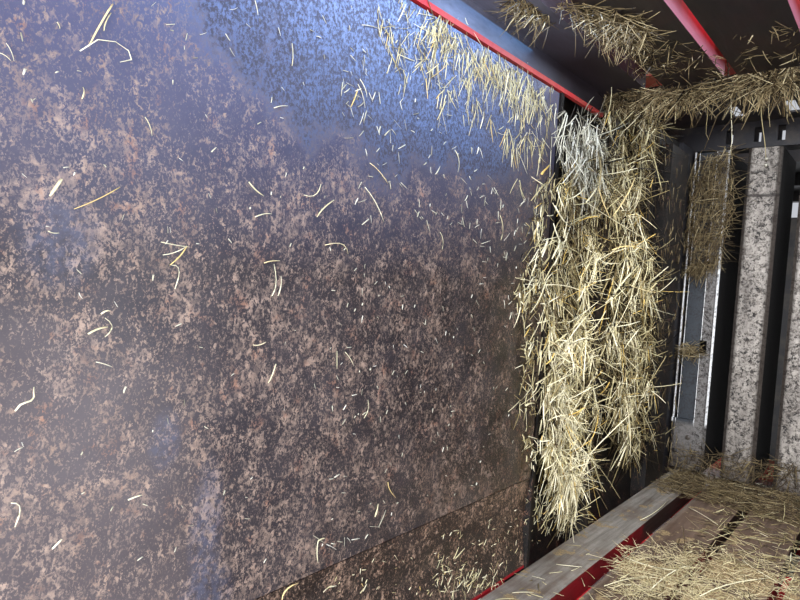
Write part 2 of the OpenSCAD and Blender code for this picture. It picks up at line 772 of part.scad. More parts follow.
centred() door_frame(false);  // door_frame_right
centred() top_slats();
centred() top_door_frame();
centred() at_side(true) barrel(side_cyl_len);  // side_barrel_left
centred() at_side(true) rod(side_cyl_len);  // side_rod_left
centred() at_side(false) barrel(side_cyl_len);  // side_barrel_right
centred() at_side(false) rod(side_cyl_len);  // side_rod_right
centred() at_top(true) barrel(top_cyl_len);  // top_barrel_left
centred() at_top(true) rod(top_cyl_len);  // top_rod_left
centred() at_top(false) barrel(top_cyl_len);  // top_barrel_right
centred() at_top(false) rod(top_cyl_len);  // top_rod_right
centred() plunger_face();
centred() plunger_body();
centred() roller(true, roller_y[0]);  // roller_rear_left
centred() roller(false, roller_y[0]);  // roller_rear_right
centred() roller(true, roller_y[1]);  // roller_front_left
centred() roller(false, roller_y[1]);  // roller_front_right
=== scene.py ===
import math

import bpy
import numpy as np
from mathutils import Matrix, Vector


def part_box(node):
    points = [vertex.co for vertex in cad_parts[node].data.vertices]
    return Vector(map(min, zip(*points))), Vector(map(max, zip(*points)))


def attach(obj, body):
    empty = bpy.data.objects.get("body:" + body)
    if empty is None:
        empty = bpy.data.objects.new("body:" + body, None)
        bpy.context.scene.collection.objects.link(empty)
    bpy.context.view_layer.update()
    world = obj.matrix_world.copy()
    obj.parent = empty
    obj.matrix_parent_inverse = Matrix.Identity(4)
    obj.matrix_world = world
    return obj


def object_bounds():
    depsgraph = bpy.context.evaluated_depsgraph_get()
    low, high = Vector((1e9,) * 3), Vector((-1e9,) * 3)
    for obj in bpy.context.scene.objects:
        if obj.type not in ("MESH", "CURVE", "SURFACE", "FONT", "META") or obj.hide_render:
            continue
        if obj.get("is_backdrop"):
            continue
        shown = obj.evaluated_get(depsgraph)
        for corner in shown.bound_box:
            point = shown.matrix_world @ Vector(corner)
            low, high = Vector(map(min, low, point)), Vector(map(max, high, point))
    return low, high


# %% [markdown]
# # The bale chamber of a large square baler
# The chamber is a long steel box. Crop is pressed into it by a slotted plunger at the far end, and the
# two side doors and the top door squeeze the bale as it slides out of the open rear end. The construction
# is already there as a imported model, so this lesson dresses it: paint, worn steel, rust, bolts and straw.
# Everything is in metres, +X to the right, +Y from the open end to the plunger and +Z up.

# %% Load the frame
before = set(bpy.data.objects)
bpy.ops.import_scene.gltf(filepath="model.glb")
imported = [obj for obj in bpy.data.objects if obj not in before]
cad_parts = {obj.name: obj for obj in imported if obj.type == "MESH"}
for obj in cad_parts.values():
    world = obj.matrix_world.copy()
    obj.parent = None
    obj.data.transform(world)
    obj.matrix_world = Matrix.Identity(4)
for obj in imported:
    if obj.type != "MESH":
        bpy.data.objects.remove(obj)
cad_low, cad_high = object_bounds()
print("chamber box", [round(v, 3) for v in (*cad_low, *cad_high)])

# %% [markdown]
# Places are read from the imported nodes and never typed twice. If the construction changes, the straw, the
# bolts and the camera follow it.

# %% Places taken from the frame
REAR_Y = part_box("floor_slats")[0].y
FLOOR_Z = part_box("floor_slats")[1].z
CEILING_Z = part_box("top_slats")[0].z
CEILING_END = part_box("top_slats")[1].y
WALL_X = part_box("door_skin_right")[0].x
DOOR_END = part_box("door_skin_right")[1].y
DOOR_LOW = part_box("door_skin_right")[0].z
DOOR_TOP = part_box("door_skin_right")[1].z
FACE_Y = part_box("plunger_face")[0].y
RECESS_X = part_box("recess_wall_right")[1].x
print("chamber", round(2 * WALL_X, 3), "wide", round(CEILING_Z - FLOOR_Z, 3), "high")

# %% [markdown]
# The camera stands inside the open end, a little right of the middle, and looks past the left door at the
# plunger. Its height, turn, tilt and roll were worked out from where the chamber's long edges meet. The
# lens is a short one, so the near end of the door fills most of the picture.

# %% Camera
EYE = Vector((0.106, REAR_Y + 0.45, FLOOR_Z + 0.738))
TURN, TILT, ROLL = (math.radians(a) for a in (40.25, -2.31, 3.8))
LENS_MM = 27


def camera_axes(turn, tilt, roll):
    """The camera's right, up and backward directions."""
    ahead = Vector((-math.sin(turn) * math.cos(tilt), math.cos(turn) * math.cos(tilt), math.sin(tilt)))
    right = Vector((math.cos(turn), math.sin(turn), 0))
    up = right.cross(ahead)
    rolled = math.cos(roll) * right + math.sin(roll) * up
    return rolled, ahead.cross(-rolled), -ahead


bpy.ops.object.select_all(action="DESELECT")
bpy.ops.object.camera_add(location=EYE)
camera = bpy.context.object
camera.matrix_world = Matrix.Translation(EYE) @ Matrix(camera_axes(TURN, TILT, ROLL)).transposed().to_4x4()
camera.data.lens = LENS_MM
camera.data.clip_start = 0.01
bpy.context.scene.camera = camera
bpy.context.scene.view_settings.view_transform = "Standard"
print("camera at", [round(v, 3) for v in EYE])

# %% [markdown]
# The photograph shows where each scrap of straw lies. A pixel of it is a ray from the camera, and the ray
# meets a wall, the floor or the ceiling in one point, so the scraps are placed by the pixels where they are
# seen and still lie on the steel that carries them.

# %% From pixels to places
PHOTO_WIDTH, PHOTO_HEIGHT, SENSOR_MM = 800, 600, 36
FOCAL = LENS_MM / SENSOR_MM * PHOTO_WIDTH
AXES = np.array(camera_axes(TURN, TILT, ROLL))


def on_plane(px, py, axis, level):
    """Points where the rays through pixels cross a plane. The axis is 0 for X, 1 for Y and 2 for Z."""
    px, py = np.asarray(px, float), np.asarray(py, float)
    view = np.stack([(px - PHOTO_WIDTH / 2) / FOCAL, (PHOTO_HEIGHT / 2 - py) / FOCAL, -np.ones_like(px)], -1)
    rays = view @ AXES
    reach = (level - EYE[axis]) / rays[..., axis]
    return np.array(EYE) + reach[..., None] * rays


def inside(outline, px, py):
    """Which pixels lie in a closed outline."""
    within = np.zeros(len(px), bool)
    corners = list(outline)
    for (x0, y0), (x1, y1) in zip(corners, corners[1:] + corners[:1]):
        if y0 != y1:
            crosses = (y0 > py) != (y1 > py)
            within ^= crosses & (px < x0 + (py - y0) / (y1 - y0) * (x1 - x0))
    return within


def fill(outline, count, rng):
    """Random pixels in an outline."""
    tries_each = 12
    low, high = np.min(outline, 0), np.max(outline, 0)
    tries = rng.uniform(low, high, (count * tries_each, 2))
    tries = tries[inside(outline, tries[:, 0], tries[:, 1])][:count]
    return tries[:, 0], tries[:, 1]


middle_pixel = (PHOTO_WIDTH / 2, PHOTO_HEIGHT / 2)
print("left wall at the middle pixel", np.round(on_plane(*middle_pixel, 0, -WALL_X), 3))

# %% [markdown]
# A finish is a graph of shader nodes. Wires carry numbers through it, and arithmetic on a wire adds the
# Math node for it, so a mask reads like a formula. Every pattern takes its place from Object coordinates,
# which for this model are metres in the chamber's own frame.


# %% Shader arithmetic
class Wire:
    """An output socket of a finish. Arithmetic on it adds Math nodes."""

    def __init__(self, finish, socket):
        self.finish, self.socket = finish, socket

    def __add__(self, other):
        return self.finish.maths("ADD", self, other)

    def __sub__(self, other):
        return self.finish.maths("SUBTRACT", self, other)

    def __rsub__(self, other):
        return self.finish.maths("SUBTRACT", other, self)

    def __mul__(self, other):
        return self.finish.maths("MULTIPLY", self, other)

    def __truediv__(self, other):
        return self.finish.maths("DIVIDE", self, other)

    __radd__ = __add__
    __rmul__ = __mul__

    def above(self, level, soft):
        """1 where the wire is over the level, 0 under it, with a soft step between."""
        return self.finish.ramp(self, level - soft, level + soft)

    def top(self, other):
        """The larger of the wire and another."""
        return self.finish.maths("MAXIMUM", self, other)


print("wires ready")

# %% [markdown]
# The finish itself holds the material and adds its nodes. Its helpers are the few that this machine needs:
# a place, one axis of it, cloudy noise, a ramp between two levels, a mix of two colours and a fine bump.
# They keep Blender's own names for inputs and operations, so each can be found in the shader editor.


# %% Finishes
class Finish:
    """A material under construction."""

    def __init__(self, name, **sockets):
        self.material = bpy.data.materials.new(name)
        self.material.use_nodes = True
        self.nodes = self.material.node_tree.nodes
        self.shader = self.nodes["Principled BSDF"]
        self.set(**sockets)

    def link(self, socket, value):
        """Feeds a socket with a wire or sets it to a value."""
        if isinstance(value, Wire):
            self.material.node_tree.links.new(value.socket, socket)
        else:
            socket.default_value = value

    def add(self, kind, settings=None, out=0, **inputs):
        """A node of a kind, with its inputs by name, or by number after an underscore."""
        node = self.nodes.new(kind)
        for key, value in (settings or {}).items():
            setattr(node, key, value)
        for key, value in inputs.items():
            key = int(key[1:]) if key[0] == "_" else key.replace("_", " ")
            self.link(node.inputs[key], value)
        return Wire(self, node.outputs[out])

    def maths(self, operation, a, b=0.0):
        return self.add("ShaderNodeMath", {"operation": operation}, _0=a, _1=b)

    def ramp(self, value, low, high, to_low=0.0, to_high=1.0):
        return self.add("ShaderNodeMapRange", None, Value=value, From_Min=low, From_Max=high,
                        To_Min=to_low, To_Max=to_high)

    def place(self, scale=(1, 1, 1)):
        """Object coordinates, squeezed along an axis whose scale is small so that patterns run along it."""
        spot = self.add("ShaderNodeTexCoord", out="Object")
        return self.add("ShaderNodeMapping", None, Vector=spot, Scale=scale)

    def axis(self, letter):
        """One coordinate of the place, in metres."""
        spot = self.add("ShaderNodeTexCoord", out="Object")
        return self.add("ShaderNodeSeparateXYZ", out="XYZ".index(letter), Vector=spot)

    def noise(self, size, place=None, detail=5.0, rough=0.6, warp=0.0):
        """Cloudy noise whose features are about `size` metres across."""
        return self.add("ShaderNodeTexNoise", None, Vector=place or self.place(), Scale=1 / size,
                        Detail=detail, Roughness=rough, Distortion=warp)

    def mix(self, factor, a, b):
        """The first colour where the factor is 0, the second where it is 1."""
        node = self.nodes.new("ShaderNodeMix")
        node.data_type = "RGBA"
        for index, value in ((0, factor), (6, a), (7, b)):
            self.link(node.inputs[index], value)
        return Wire(self, node.outputs[2])

    def bump(self, height, depth, strength=1.0):
        return self.add("ShaderNodeBump", None, Height=height, Distance=depth, Strength=strength)

    def set(self, **sockets):
        """Feeds the Principled shader's sockets and hands back the material."""
        for key, value in sockets.items():
            self.link(self.shader.inputs[key.replace("_", " ")], value)
        return self.material


def linear(red, green, blue):
    """A screen colour of 0 to 255 as a shader colour."""
    return (*(((v / 255 + 0.055) / 1.055) ** 2.4 if v > 10 else v / 3294 for v in (red, green, blue)), 1.0)


print("finishes ready")

# %% [markdown]
# The machine's frame is painted red. Paint that stands in fields and barns fades unevenly, carries dust
# and dull runs, and chips down to brown primer. Each of these is one noise with its own size: a quarter of
# a metre for the fading, three centimetres for the chips. The same colour serves the whole frame and, by a
# mask, the edges of the worn pieces.


# %% Red paint
RED = linear(206, 28, 44)
DUST = linear(150, 132, 108)


def red_colour(finish):
    fade = finish.ramp(finish.noise(0.25), 0.35, 0.65)
    worn = finish.noise(0.03, detail=8, rough=0.7).above(0.66, 0.02)
    dust_and_light = finish.noise(0.4, detail=6).above(0.58, 0.12) * 0.35
    runs = finish.noise(0.035, finish.place((1, 1, 0.12)), detail=6, rough=0.7).above(0.57, 0.1)
    paint = finish.mix(fade, RED, linear(180, 24, 38))
    paint = finish.mix(dust_and_light, paint, DUST)
    paint = finish.mix(runs * 0.3, paint, linear(96, 40, 36))
    return finish.mix(worn * 0.6, paint, linear(70, 48, 42))


def painted(name):
    finish = Finish(name)
    return finish.set(Base_Color=red_colour(finish), Roughness=0.45, Coat_Weight=0.15,
                      Normal=finish.bump(finish.noise(0.004), 0.0003, 0.3))


red_paint = painted("red paint")
print("red paint")

# %% [markdown]
# Rust on polished steel comes in flecks and not as an even coat. Noise of two sizes gives the flecks, and
# a larger noise gathers them in clouds. A soft ellipse marks one place on the wall, such as a painted sheen
# or a smear. Its middle is a pixel, so it lies where the photograph shows it.


# %% Flecks and soft spots
GRAIN_TALL = 1.3


def on_wall(pixel):
    """Place along the chamber and height of a pixel that shows the left wall."""
    return on_plane(*pixel, 0, -WALL_X)[1:]


def soft_spot(finish, middle, half, letters="YZ", ragged=0.0):
    """1 in the middle of an ellipse that lies across two axes, falling to 0 at its edge."""
    across = (finish.axis(letters[0]) - float(middle[0])) / half[0]
    up = (finish.axis(letters[1]) - float(middle[1])) / half[1]
    inside = 1 - (across * across + up * up)
    if ragged:
        inside = inside + (finish.noise(0.11, detail=6, rough=0.7) - 0.5) * ragged
    return finish.ramp(inside, 0, 0.8)


def flecks(finish, height, level):
    """Rust in two sizes of fleck, gathered in clouds, and dark specks in the painted blue sheen."""
    grain = finish.place((1, 1, 1 / GRAIN_TALL))
    drift = finish.ramp(finish.noise(0.3, detail=4), 0.35, 0.65, -0.02, 0.03) - height * 0.02
    gather = finish.ramp(finish.noise(0.06, detail=6, rough=0.7), 0.35, 0.65, -0.075, 0.06) + drift
    coarse = (finish.noise(0.0058, grain, detail=6, rough=0.68, warp=0.5) + gather).above(level, 0.03)
    fine = (finish.noise(0.0028, grain, detail=4, rough=0.65) + gather * 0.7).above(level + 0.02, 0.035)
    faint = finish.ramp(finish.noise(0.016, detail=5, rough=0.75), 0.38, 0.66, 0.22, 1.15)
    speck = finish.noise(0.0045, grain, detail=6, rough=0.75).above(0.49, 0.05)
    return coarse.top(fine * 0.8) * faint, speck


print("flecks ready, stretched", GRAIN_TALL, "times upwards")

# %% [markdown]
# The inside of a door is rolled steel that every bale polishes. When the machine rests, rust comes up in
# small flecks, and the next bales grind their tops off again. So the finish is dark glossy steel under a
# dense layer of dull tan flecks. The steel turns from purple-grey at the open end to brown by the hinges,
# and darker there as painted shade. Soft spots give it a painted blue sheen, blue smears and a patch of
# painted light by the open end, and a painted sky haze lies along its top. Bales never touch the back of
# a skin, so past a given width the finish turns to red paint.


# %% Wall steel
# Pixels of the middles of the painted light, the painted blue sheens and the smears; half sizes in metres
LIT_PATCH_PIXEL, LIT_PATCH_HALF = (20, 640), (0.26, 0.42)
PAINTED_BLUE_SHEEN = [((372, -20), (0.40, 0.32)), ((478, 66), (0.32, 0.24))]
BLUE_SMEARS = [((206, 530), (0.03, 0.11)), ((165, 440), (0.025, 0.045)), ((205, 600), (0.05, 0.06)),
               ((60, 240), (0.05, 0.06))]


def finish_wall(name, near, far, rust_near, rust_far, level, polish=0.3, gloss=0.6, smears=(), painted_sky=0.0,
                painted_sheens=(), dust_and_light=0.0, red_below=None, red_past=2.0):
    """Rusty steel. Near colours are the open end's, far ones the hinges'. Level sets how much rust shows."""
    finish = Finish(name)
    along = finish.ramp(finish.axis("Y"), REAR_Y + 0.35, DOOR_END)
    height = finish.ramp(finish.axis("Z"), DOOR_LOW, DOOR_TOP)
    bare, speck = flecks(finish, height, level)
    spotted = bare * (1 - finish.ramp(height, 0.66, 0.95) * 0.35)
    dirt = finish.ramp(finish.noise(0.09, detail=6, rough=0.65), 0.42, 0.7)
    # The far colours are darker than the near ones: the turn to brown is the steel's own, the darkening is
    # painted shade.
    steel = finish.mix(along, near, far)
    steel = finish.mix(dirt * 0.35, steel, finish.mix(along, linear(108, 100, 104), near))
    rust = finish.mix(along, rust_near, rust_far)
    rust = finish.mix(finish.ramp(finish.noise(0.05), 0.4, 0.62), rust, finish.mix(0.5, rust_near, rust_far))
    orange = finish.noise(0.04, detail=5, rough=0.7).above(0.6, 0.05)
    rust = finish.mix(orange * 0.75, rust, linear(156, 112, 92))
    # A patch of painted light near the open end turns the steel towards pale grey.
    if dust_and_light:
        low = soft_spot(finish, on_wall(LIT_PATCH_PIXEL), LIT_PATCH_HALF, ragged=0.8)
        steel = finish.mix(low * dust_and_light, steel, linear(132, 124, 128))
    # Each blue sheen is a painted reflection of the sky: the steel turns blue and the rust dark inside it.
    for pixel, half in painted_sheens:
        painted_sheen = soft_spot(finish, on_wall(pixel), half, ragged=1.7)
        steel = finish.mix(painted_sheen * 0.6, steel, linear(88, 122, 174))
        rust = finish.mix(finish.ramp(painted_sheen, 0.02, 0.35) * 0.95, rust, linear(46, 39, 42))
        spotted = spotted.top(speck * finish.ramp(painted_sheen, 0.05, 0.4) * 0.85)
        bare = bare.top(speck * finish.ramp(painted_sheen, 0.0, 0.4))
    colour = finish.mix(spotted, steel, rust)
    # A painted sky haze: the top of the wall turns bluish as a reflection of the sky, fading towards the hinges.
    if painted_sky:
        haze = finish.ramp(height, 0.5, 1.0) * (1 - along * 0.6) * painted_sky
        colour = finish.mix(haze * (1 - bare * 0.8), colour, linear(128, 136, 188))
    for pixel, half in smears:
        wet = finish.ramp(finish.noise(0.012, detail=4, rough=0.7), 0.35, 0.62)
        colour = finish.mix(soft_spot(finish, on_wall(pixel), half) * wet * 0.4, colour, linear(98, 106, 134))
    if red_below:
        foot = finish.maths("LESS_THAN", finish.axis("Z"), red_below)
        colour = finish.mix(foot, colour, linear(150, 22, 34))
    outside = finish.maths("GREATER_THAN", finish.maths("ABSOLUTE", finish.axis("X")), WALL_X + red_past)
    inner = 1 - outside
    colour = finish.mix(outside, colour, red_colour(finish))
    return finish.set(Base_Color=colour, Coat_Weight=finish.ramp(bare, 0, 0.6, gloss, 0.0) * inner,
                      Roughness=finish.ramp(spotted.top(outside * 0.5), 0, 1, polish, 0.7),
                      Coat_Roughness=0.27, Metallic=finish.ramp(spotted, 0, 1, 0.15, 0) * inner,
                      Normal=finish.bump(spotted, 0.0004, 0.5))


door_steel = finish_wall("door steel", linear(68, 65, 74), linear(24, 17, 13), linear(192, 172, 160),
                         linear(110, 83, 65), 0.545, smears=BLUE_SMEARS, painted_sky=0.74, painted_sheens=PAINTED_BLUE_SHEEN,
                         dust_and_light=0.35, red_past=0.008)
strip_steel = finish_wall("lower strip steel", linear(44, 36, 35), linear(32, 25, 22),
                          linear(192, 164, 148), linear(176, 146, 122), 0.565, 0.42, gloss=0.3,
                          red_below=FLOOR_Z + 0.007, red_past=0.034)
# The recess steel is nearly black: painted shade in the recess behind the straw.
recess_steel = finish_wall("recess steel", linear(14, 13, 14), linear(14, 13, 14), linear(60, 44, 36),
                           linear(52, 42, 36), 0.56, 0.6, gloss=0.0, red_below=FLOOR_Z - 0.07)
print("three wall finishes")

# %% [markdown]
# The slats are painted channels whose faces the bales have worn bare. One finish serves face and flange:
# a height mask gives the worn steel to the face, and the paint stays on the flanges in the slots. Near the
# plunger the flanges are caked with brown dirt, and chaff is trodden into the steel where heaps lie.


# %% Slats
SLOT_PITCH = 0.1845
# Distance from a slat's middle past which a flange counts as beside a slot
BESIDE_SLOT = 0.0675
# Pixel where the red paint of the first slot ends
RED_ENDS_PIXEL = (665, 517)
RED_ENDS_Y = float(on_plane(*RED_ENDS_PIXEL, 2, FLOOR_Z)[1])
# Pixels of the middles of the chaff heaps, and their half sizes in metres
CHAFF_PIXELS = [((652, 572), (0.12, 0.10)), ((735, 575), (0.16, 0.11)), ((690, 590), (0.2, 0.08))]
CHAFF_SPOTS = [(on_plane(*pixel, 2, FLOOR_Z)[:2], half) for pixel, half in CHAFF_PIXELS]


def band(finish, low, high, letter="Z"):
    """1 between two places along an axis, 0 outside them."""
    place = finish.axis(letter)
    return finish.maths("GREATER_THAN", place, low) * finish.maths("LESS_THAN", place, high)


def slat_finish(name, worn, dark, stain, face_low, face_high, rough, dirty_from, side=None, glare=0.0,
                shaded=0.0, chaff=()):
    """Worn steel where the height lies between the two levels, red paint elsewhere, caked from a place on."""
    finish = Finish(name)
    face = band(finish, face_low, face_high)
    streaks = finish.noise(0.02, finish.place((1, 0.06, 1)), detail=6, rough=0.7)
    stains = finish.noise(0.15, detail=7, rough=0.68)
    pits = finish.noise(0.006, detail=6, rough=0.75).above(0.6, 0.04)
    if side:
        outer = finish.ramp(finish.maths("ABSOLUTE", finish.axis("X")), 0.42, 0.47)
        worn = finish.mix(outer, worn, side)
        dark = finish.mix(outer, dark, linear(108, 101, 94))
    steel = finish.mix(finish.ramp(streaks, 0.35, 0.68), dark, worn)
    steel = finish.mix(stains.above(0.55, 0.1) * 0.6, steel, stain)
    steel = finish.mix(pits * 0.5, steel, dark)
    for middle, half in chaff:
        ragged = finish.ramp(finish.noise(0.05, detail=5), 0.35, 0.65, -0.4, 0.4)
        trodden = (soft_spot(finish, middle, half, "XY") + ragged).above(0.35, 0.15)
        bits = finish.noise(0.005, detail=5, rough=0.75)
        tone = finish.mix(finish.ramp(bits, 0.4, 0.6), linear(112, 88, 60), linear(196, 174, 132))
        steel = finish.mix(trodden * bits.above(0.45, 0.06), steel, tone)
    shade = 1 - finish.ramp(finish.axis("Y"), dirty_from - 0.45, dirty_from - 0.2)
    flange = finish.mix(shade * shaded, red_colour(finish), linear(70, 10, 16))
    if side:
        grime = finish.noise(0.09, finish.place((1, 0.3, 1)), detail=6, rough=0.7).above(0.5, 0.12)
        flange = finish.mix(grime * 0.6 + 0.22, flange, linear(52, 14, 18))
    if glare:
        low_down = 1 - finish.ramp(finish.axis("Z"), face_high + 0.012, face_high + 0.034)
        from_middle = finish.maths("PINGPONG", finish.axis("X"), SLOT_PITCH / 2)
        beside_slot = finish.maths("GREATER_THAN", from_middle, BESIDE_SLOT)
        flange = finish.mix(low_down * beside_slot * glare, flange, linear(255, 196, 226))
    caked = finish.ramp(finish.axis("Y") + stains * 0.35, dirty_from, dirty_from + 0.06)
    flange = finish.mix(caked * 0.94, flange, linear(40, 32, 27))
    return finish.set(Base_Color=finish.mix(face, flange, steel), Metallic=face * 0.35,
                      Roughness=finish.ramp(streaks, 0.3, 0.7, rough, rough + 0.2),
                      Normal=finish.bump(streaks, 0.0004, 0.4))


floor_steel = slat_finish("floor steel", linear(134, 112, 98), linear(76, 60, 52), linear(104, 82, 68),
                          FLOOR_Z - 0.0015, FLOOR_Z + 1, 0.5, RED_ENDS_Y, side=linear(176, 171, 165),
                          shaded=0.6, chaff=CHAFF_SPOTS)
# The ceiling's worn faces get far darker colours than the floor's, as painted shade under the top door.
ceiling_steel = slat_finish("ceiling steel", linear(48, 41, 46), linear(26, 22, 26), linear(58, 36, 38),
                            -1, CEILING_Z + 0.0015, 0.4, CEILING_END + 0.5, glare=0.9)
print("floor and ceiling slats")

# %% [markdown]
# A folded corner closes the chamber above each door. Daylight turns its steel bluish near the open end,
# and its lowest edge, a lip that no bale reaches, is still red. The lip is found by its height.


# %% Upper corner
LIP_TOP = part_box("upper_corner_right")[0].z + 0.011


def corner_finish():
    """Bluish steel that darkens towards the plunger, with a red lip."""
    finish = Finish("upper corner steel")
    along = finish.ramp(finish.axis("Y"), REAR_Y + 0.9, DOOR_END)
    smear = finish.noise(0.06, finish.place((1, 0.3, 1)), detail=6, rough=0.7)
    steel = finish.mix(along, linear(168, 174, 204), linear(38, 31, 38))
    steel = finish.mix(finish.ramp(smear, 0.4, 0.65) * 0.6, steel, linear(54, 46, 54))
    lip = finish.maths("LESS_THAN", finish.axis("Z"), LIP_TOP)
    return finish.set(Base_Color=finish.mix(lip, steel, red_colour(finish)), Metallic=(1 - lip) * 0.2,
                      Roughness=0.62, Normal=finish.bump(smear, 0.0004, 0.4))


corner_steel = corner_finish()
print("lip up to", round(LIP_TOP, 3))

# %% [markdown]
# The plunger's face is the brightest steel in the chamber: it rubs on crop at every stroke, so the plates
# are silver-grey with black pits that hold old paint and dirt, and only their edges stay dark. The outer
# columns have scraped lines, painted near white as highlights, and a sunk panel of bluish steel. The
# insides of the slots are painted near black as shade.


# %% Plunger face
PLATE_HALF = 0.0597
OUTER_COLUMN_X = 0.46
BRIGHT_LINES = [(0.4935, 0.5005), (0.5392, 0.5418), (0.6095, 0.6120), (0.6200, 0.6260)]
PANEL = (0.5415, 0.6195)
PANEL_FOOT = FLOOR_Z + 0.19
SEAM_Z = CEILING_Z - 0.143
PLATE_BACK = FACE_Y + 0.019


def band_pair(finish, low, high):
    """1 between two distances from the middle, on either side of the machine."""
    return band(finish, low, high, "X") + band(finish, -high, -low, "X")


def plunger_plates():
    """Scraped plates with dark pits and edges, and painted shade in the slots behind them."""
    finish = Finish("plunger plate")
    width = finish.maths("ABSOLUTE", finish.axis("X"))
    drag = finish.noise(0.05, finish.place((1, 1, 0.2)), detail=6, rough=0.7)
    blotch = finish.ramp(finish.noise(0.03, detail=5, rough=0.7), 0.35, 0.65, -0.05, 0.05)
    pits = (finish.noise(0.008, detail=5, rough=0.75, warp=0.6) + blotch).above(0.53, 0.045)
    deep = (finish.noise(0.016, detail=6, rough=0.78, warp=0.8) + blotch).above(0.57, 0.03)
    from_middle = finish.maths("PINGPONG", finish.axis("X"), SLOT_PITCH / 2)
    edge = (from_middle + finish.ramp(drag, 0.3, 0.7, -0.008, 0.008)).above(PLATE_HALF - 0.016, 0.005)
    edge = edge * finish.maths("LESS_THAN", width, OUTER_COLUMN_X)
    plate = finish.mix(finish.ramp(drag, 0.35, 0.65), linear(100, 94, 90), linear(160, 154, 148))
    plate = finish.mix(finish.maths("GREATER_THAN", width, OUTER_COLUMN_X), plate, linear(112, 110, 110))
    sunk = band_pair(finish, *PANEL)
    upright = finish.ramp(finish.axis("Z"), PANEL_FOOT, PANEL_FOOT + 0.02)
    plate = finish.mix(sunk * upright, plate, linear(54, 60, 68))
    colour = finish.mix(pits * 0.8 * (1 - 0.5 * sunk), plate, linear(52, 46, 44))
    colour = finish.mix(deep * (1 - 0.6 * sunk), colour, linear(24, 21, 22))
    colour = finish.mix(edge * 0.8, colour, linear(46, 38, 34))
    height = finish.axis("Z") + finish.ramp(drag, 0.3, 0.7, -0.03, 0.03)
    foot = 1 - finish.ramp(height, FLOOR_Z + 0.03, FLOOR_Z + 0.15)
    colour = finish.mix(foot * 0.55, colour, linear(70, 58, 48))
    seam = finish.maths("ABSOLUTE", finish.axis("Z") - SEAM_Z)
    colour = finish.mix((1 - finish.ramp(seam, 0.003, 0.009)) * 0.85, colour, linear(34, 28, 26))
    # Scraped lines on the outer columns, painted near white as highlights.
    rubbed = finish.noise(0.011, finish.place((1, 1, 0.8)), detail=3, rough=0.7)
    lines = sum(band_pair(finish, *line) for line in BRIGHT_LINES)
    scraped_highlight = lines * finish.ramp(rubbed, 0.36, 0.5, 0.25, 1) * upright
    colour = finish.mix(scraped_highlight, colour, linear(240, 243, 248))
    # The sides of the slots behind the plates are painted near black as shade.
    inner = finish.ramp(finish.axis("Y"), PLATE_BACK, PLATE_BACK + 0.007) * (1 - sunk)
    colour = finish.mix(inner, colour, linear(16, 13, 14))
    return finish.set(Base_Color=colour, Roughness=finish.ramp(pits, 0, 1, 0.45, 0.8).top(inner),
                      Metallic=finish.ramp(pits.top(scraped_highlight), 0, 1, 0.2, 0.0) * (1 - inner),
                      Normal=finish.bump(pits, -0.0006, 0.5))


plate_steel = plunger_plates()
print("plunger face, slots every", SLOT_PITCH)

# %% [markdown]
# The rest is painted dark or is small bright steel. The cover's sheet is red on top, where its height tells
# it from the sides. Pins, rollers and bolts are speckled steel or dull zinc, and the cylinders' rods are
# chrome, the one surface on the machine that has to stay clean.


# %% Dark paints and small steel
def cover_paint():
    """Red where the cover's sheet looks up, blue-grey below it."""
    finish = Finish("cover paint")
    top = finish.maths("GREATER_THAN", finish.axis("Z"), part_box("housing_cover")[1].z - 0.004)
    dust_and_light = finish.ramp(finish.noise(0.12, detail=6), 0.4, 0.7)
    dull = finish.mix(dust_and_light, linear(34, 32, 36), linear(58, 50, 46))
    return finish.set(Base_Color=finish.mix(top, dull, red_colour(finish)), Roughness=0.5,
                      Normal=finish.bump(finish.noise(0.006), 0.0003, 0.3))


def speckled(name, light, grey, pit, amount, metal):
    """Bright steel with dark pits. The amount is the share of the surface that they take."""
    finish = Finish(name)
    drag = finish.noise(0.035, finish.place((1, 1, 0.25)), detail=6, rough=0.7)
    pits = finish.noise(0.009, detail=7, rough=0.8).above(1 - amount, 0.03)
    colour = finish.mix(finish.ramp(drag, 0.35, 0.65), grey, light)
    colour = finish.mix(pits, colour, pit)
    return finish.set(Base_Color=colour, Roughness=finish.ramp(pits, 0, 1, 0.38, 0.8),
                      Metallic=finish.ramp(pits, 0, 1, metal, 0.0),
                      Normal=finish.bump(pits, -0.0008, 0.5))


def plain_paint(name, colour, dust, rough):
    """One coat of paint with dusty patches and brown chips."""
    finish = Finish(name)
    patches = finish.noise(0.12, detail=7, rough=0.68).above(0.56, 0.09)
    chips = finish.noise(0.015, detail=6, rough=0.7).above(0.68, 0.02)
    tone = finish.mix(patches * dust, colour, DUST)
    tone = finish.mix(chips * 0.7, tone, linear(96, 70, 56))
    return finish.set(Base_Color=tone, Roughness=rough,
                      Normal=finish.bump(finish.noise(0.006), 0.0003, 0.3))


body_paint = plain_paint("plunger body paint", linear(34, 34, 38), 0.12, 0.6)
housing_paint = plain_paint("housing paint", linear(40, 40, 46), 0.14, 0.6)
barrel_paint = plain_paint("cylinder paint", linear(38, 38, 42), 0.2, 0.35)
rod_chrome = Finish("rod chrome", Base_Color=linear(205, 206, 210), Metallic=1.0, Roughness=0.12).material
bright_steel = speckled("bright steel", linear(196, 192, 188), linear(150, 146, 142), linear(70, 60, 54),
                        0.34, 0.8)
zinc = speckled("zinc", linear(186, 182, 170), linear(142, 138, 128), linear(92, 74, 56), 0.3, 0.7)
print("paints and small steel")

# %% [markdown]
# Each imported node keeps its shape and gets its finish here. A short table names the finish by the start of
# the node's name, and whatever is not named is painted red, like most of the machine's frame.

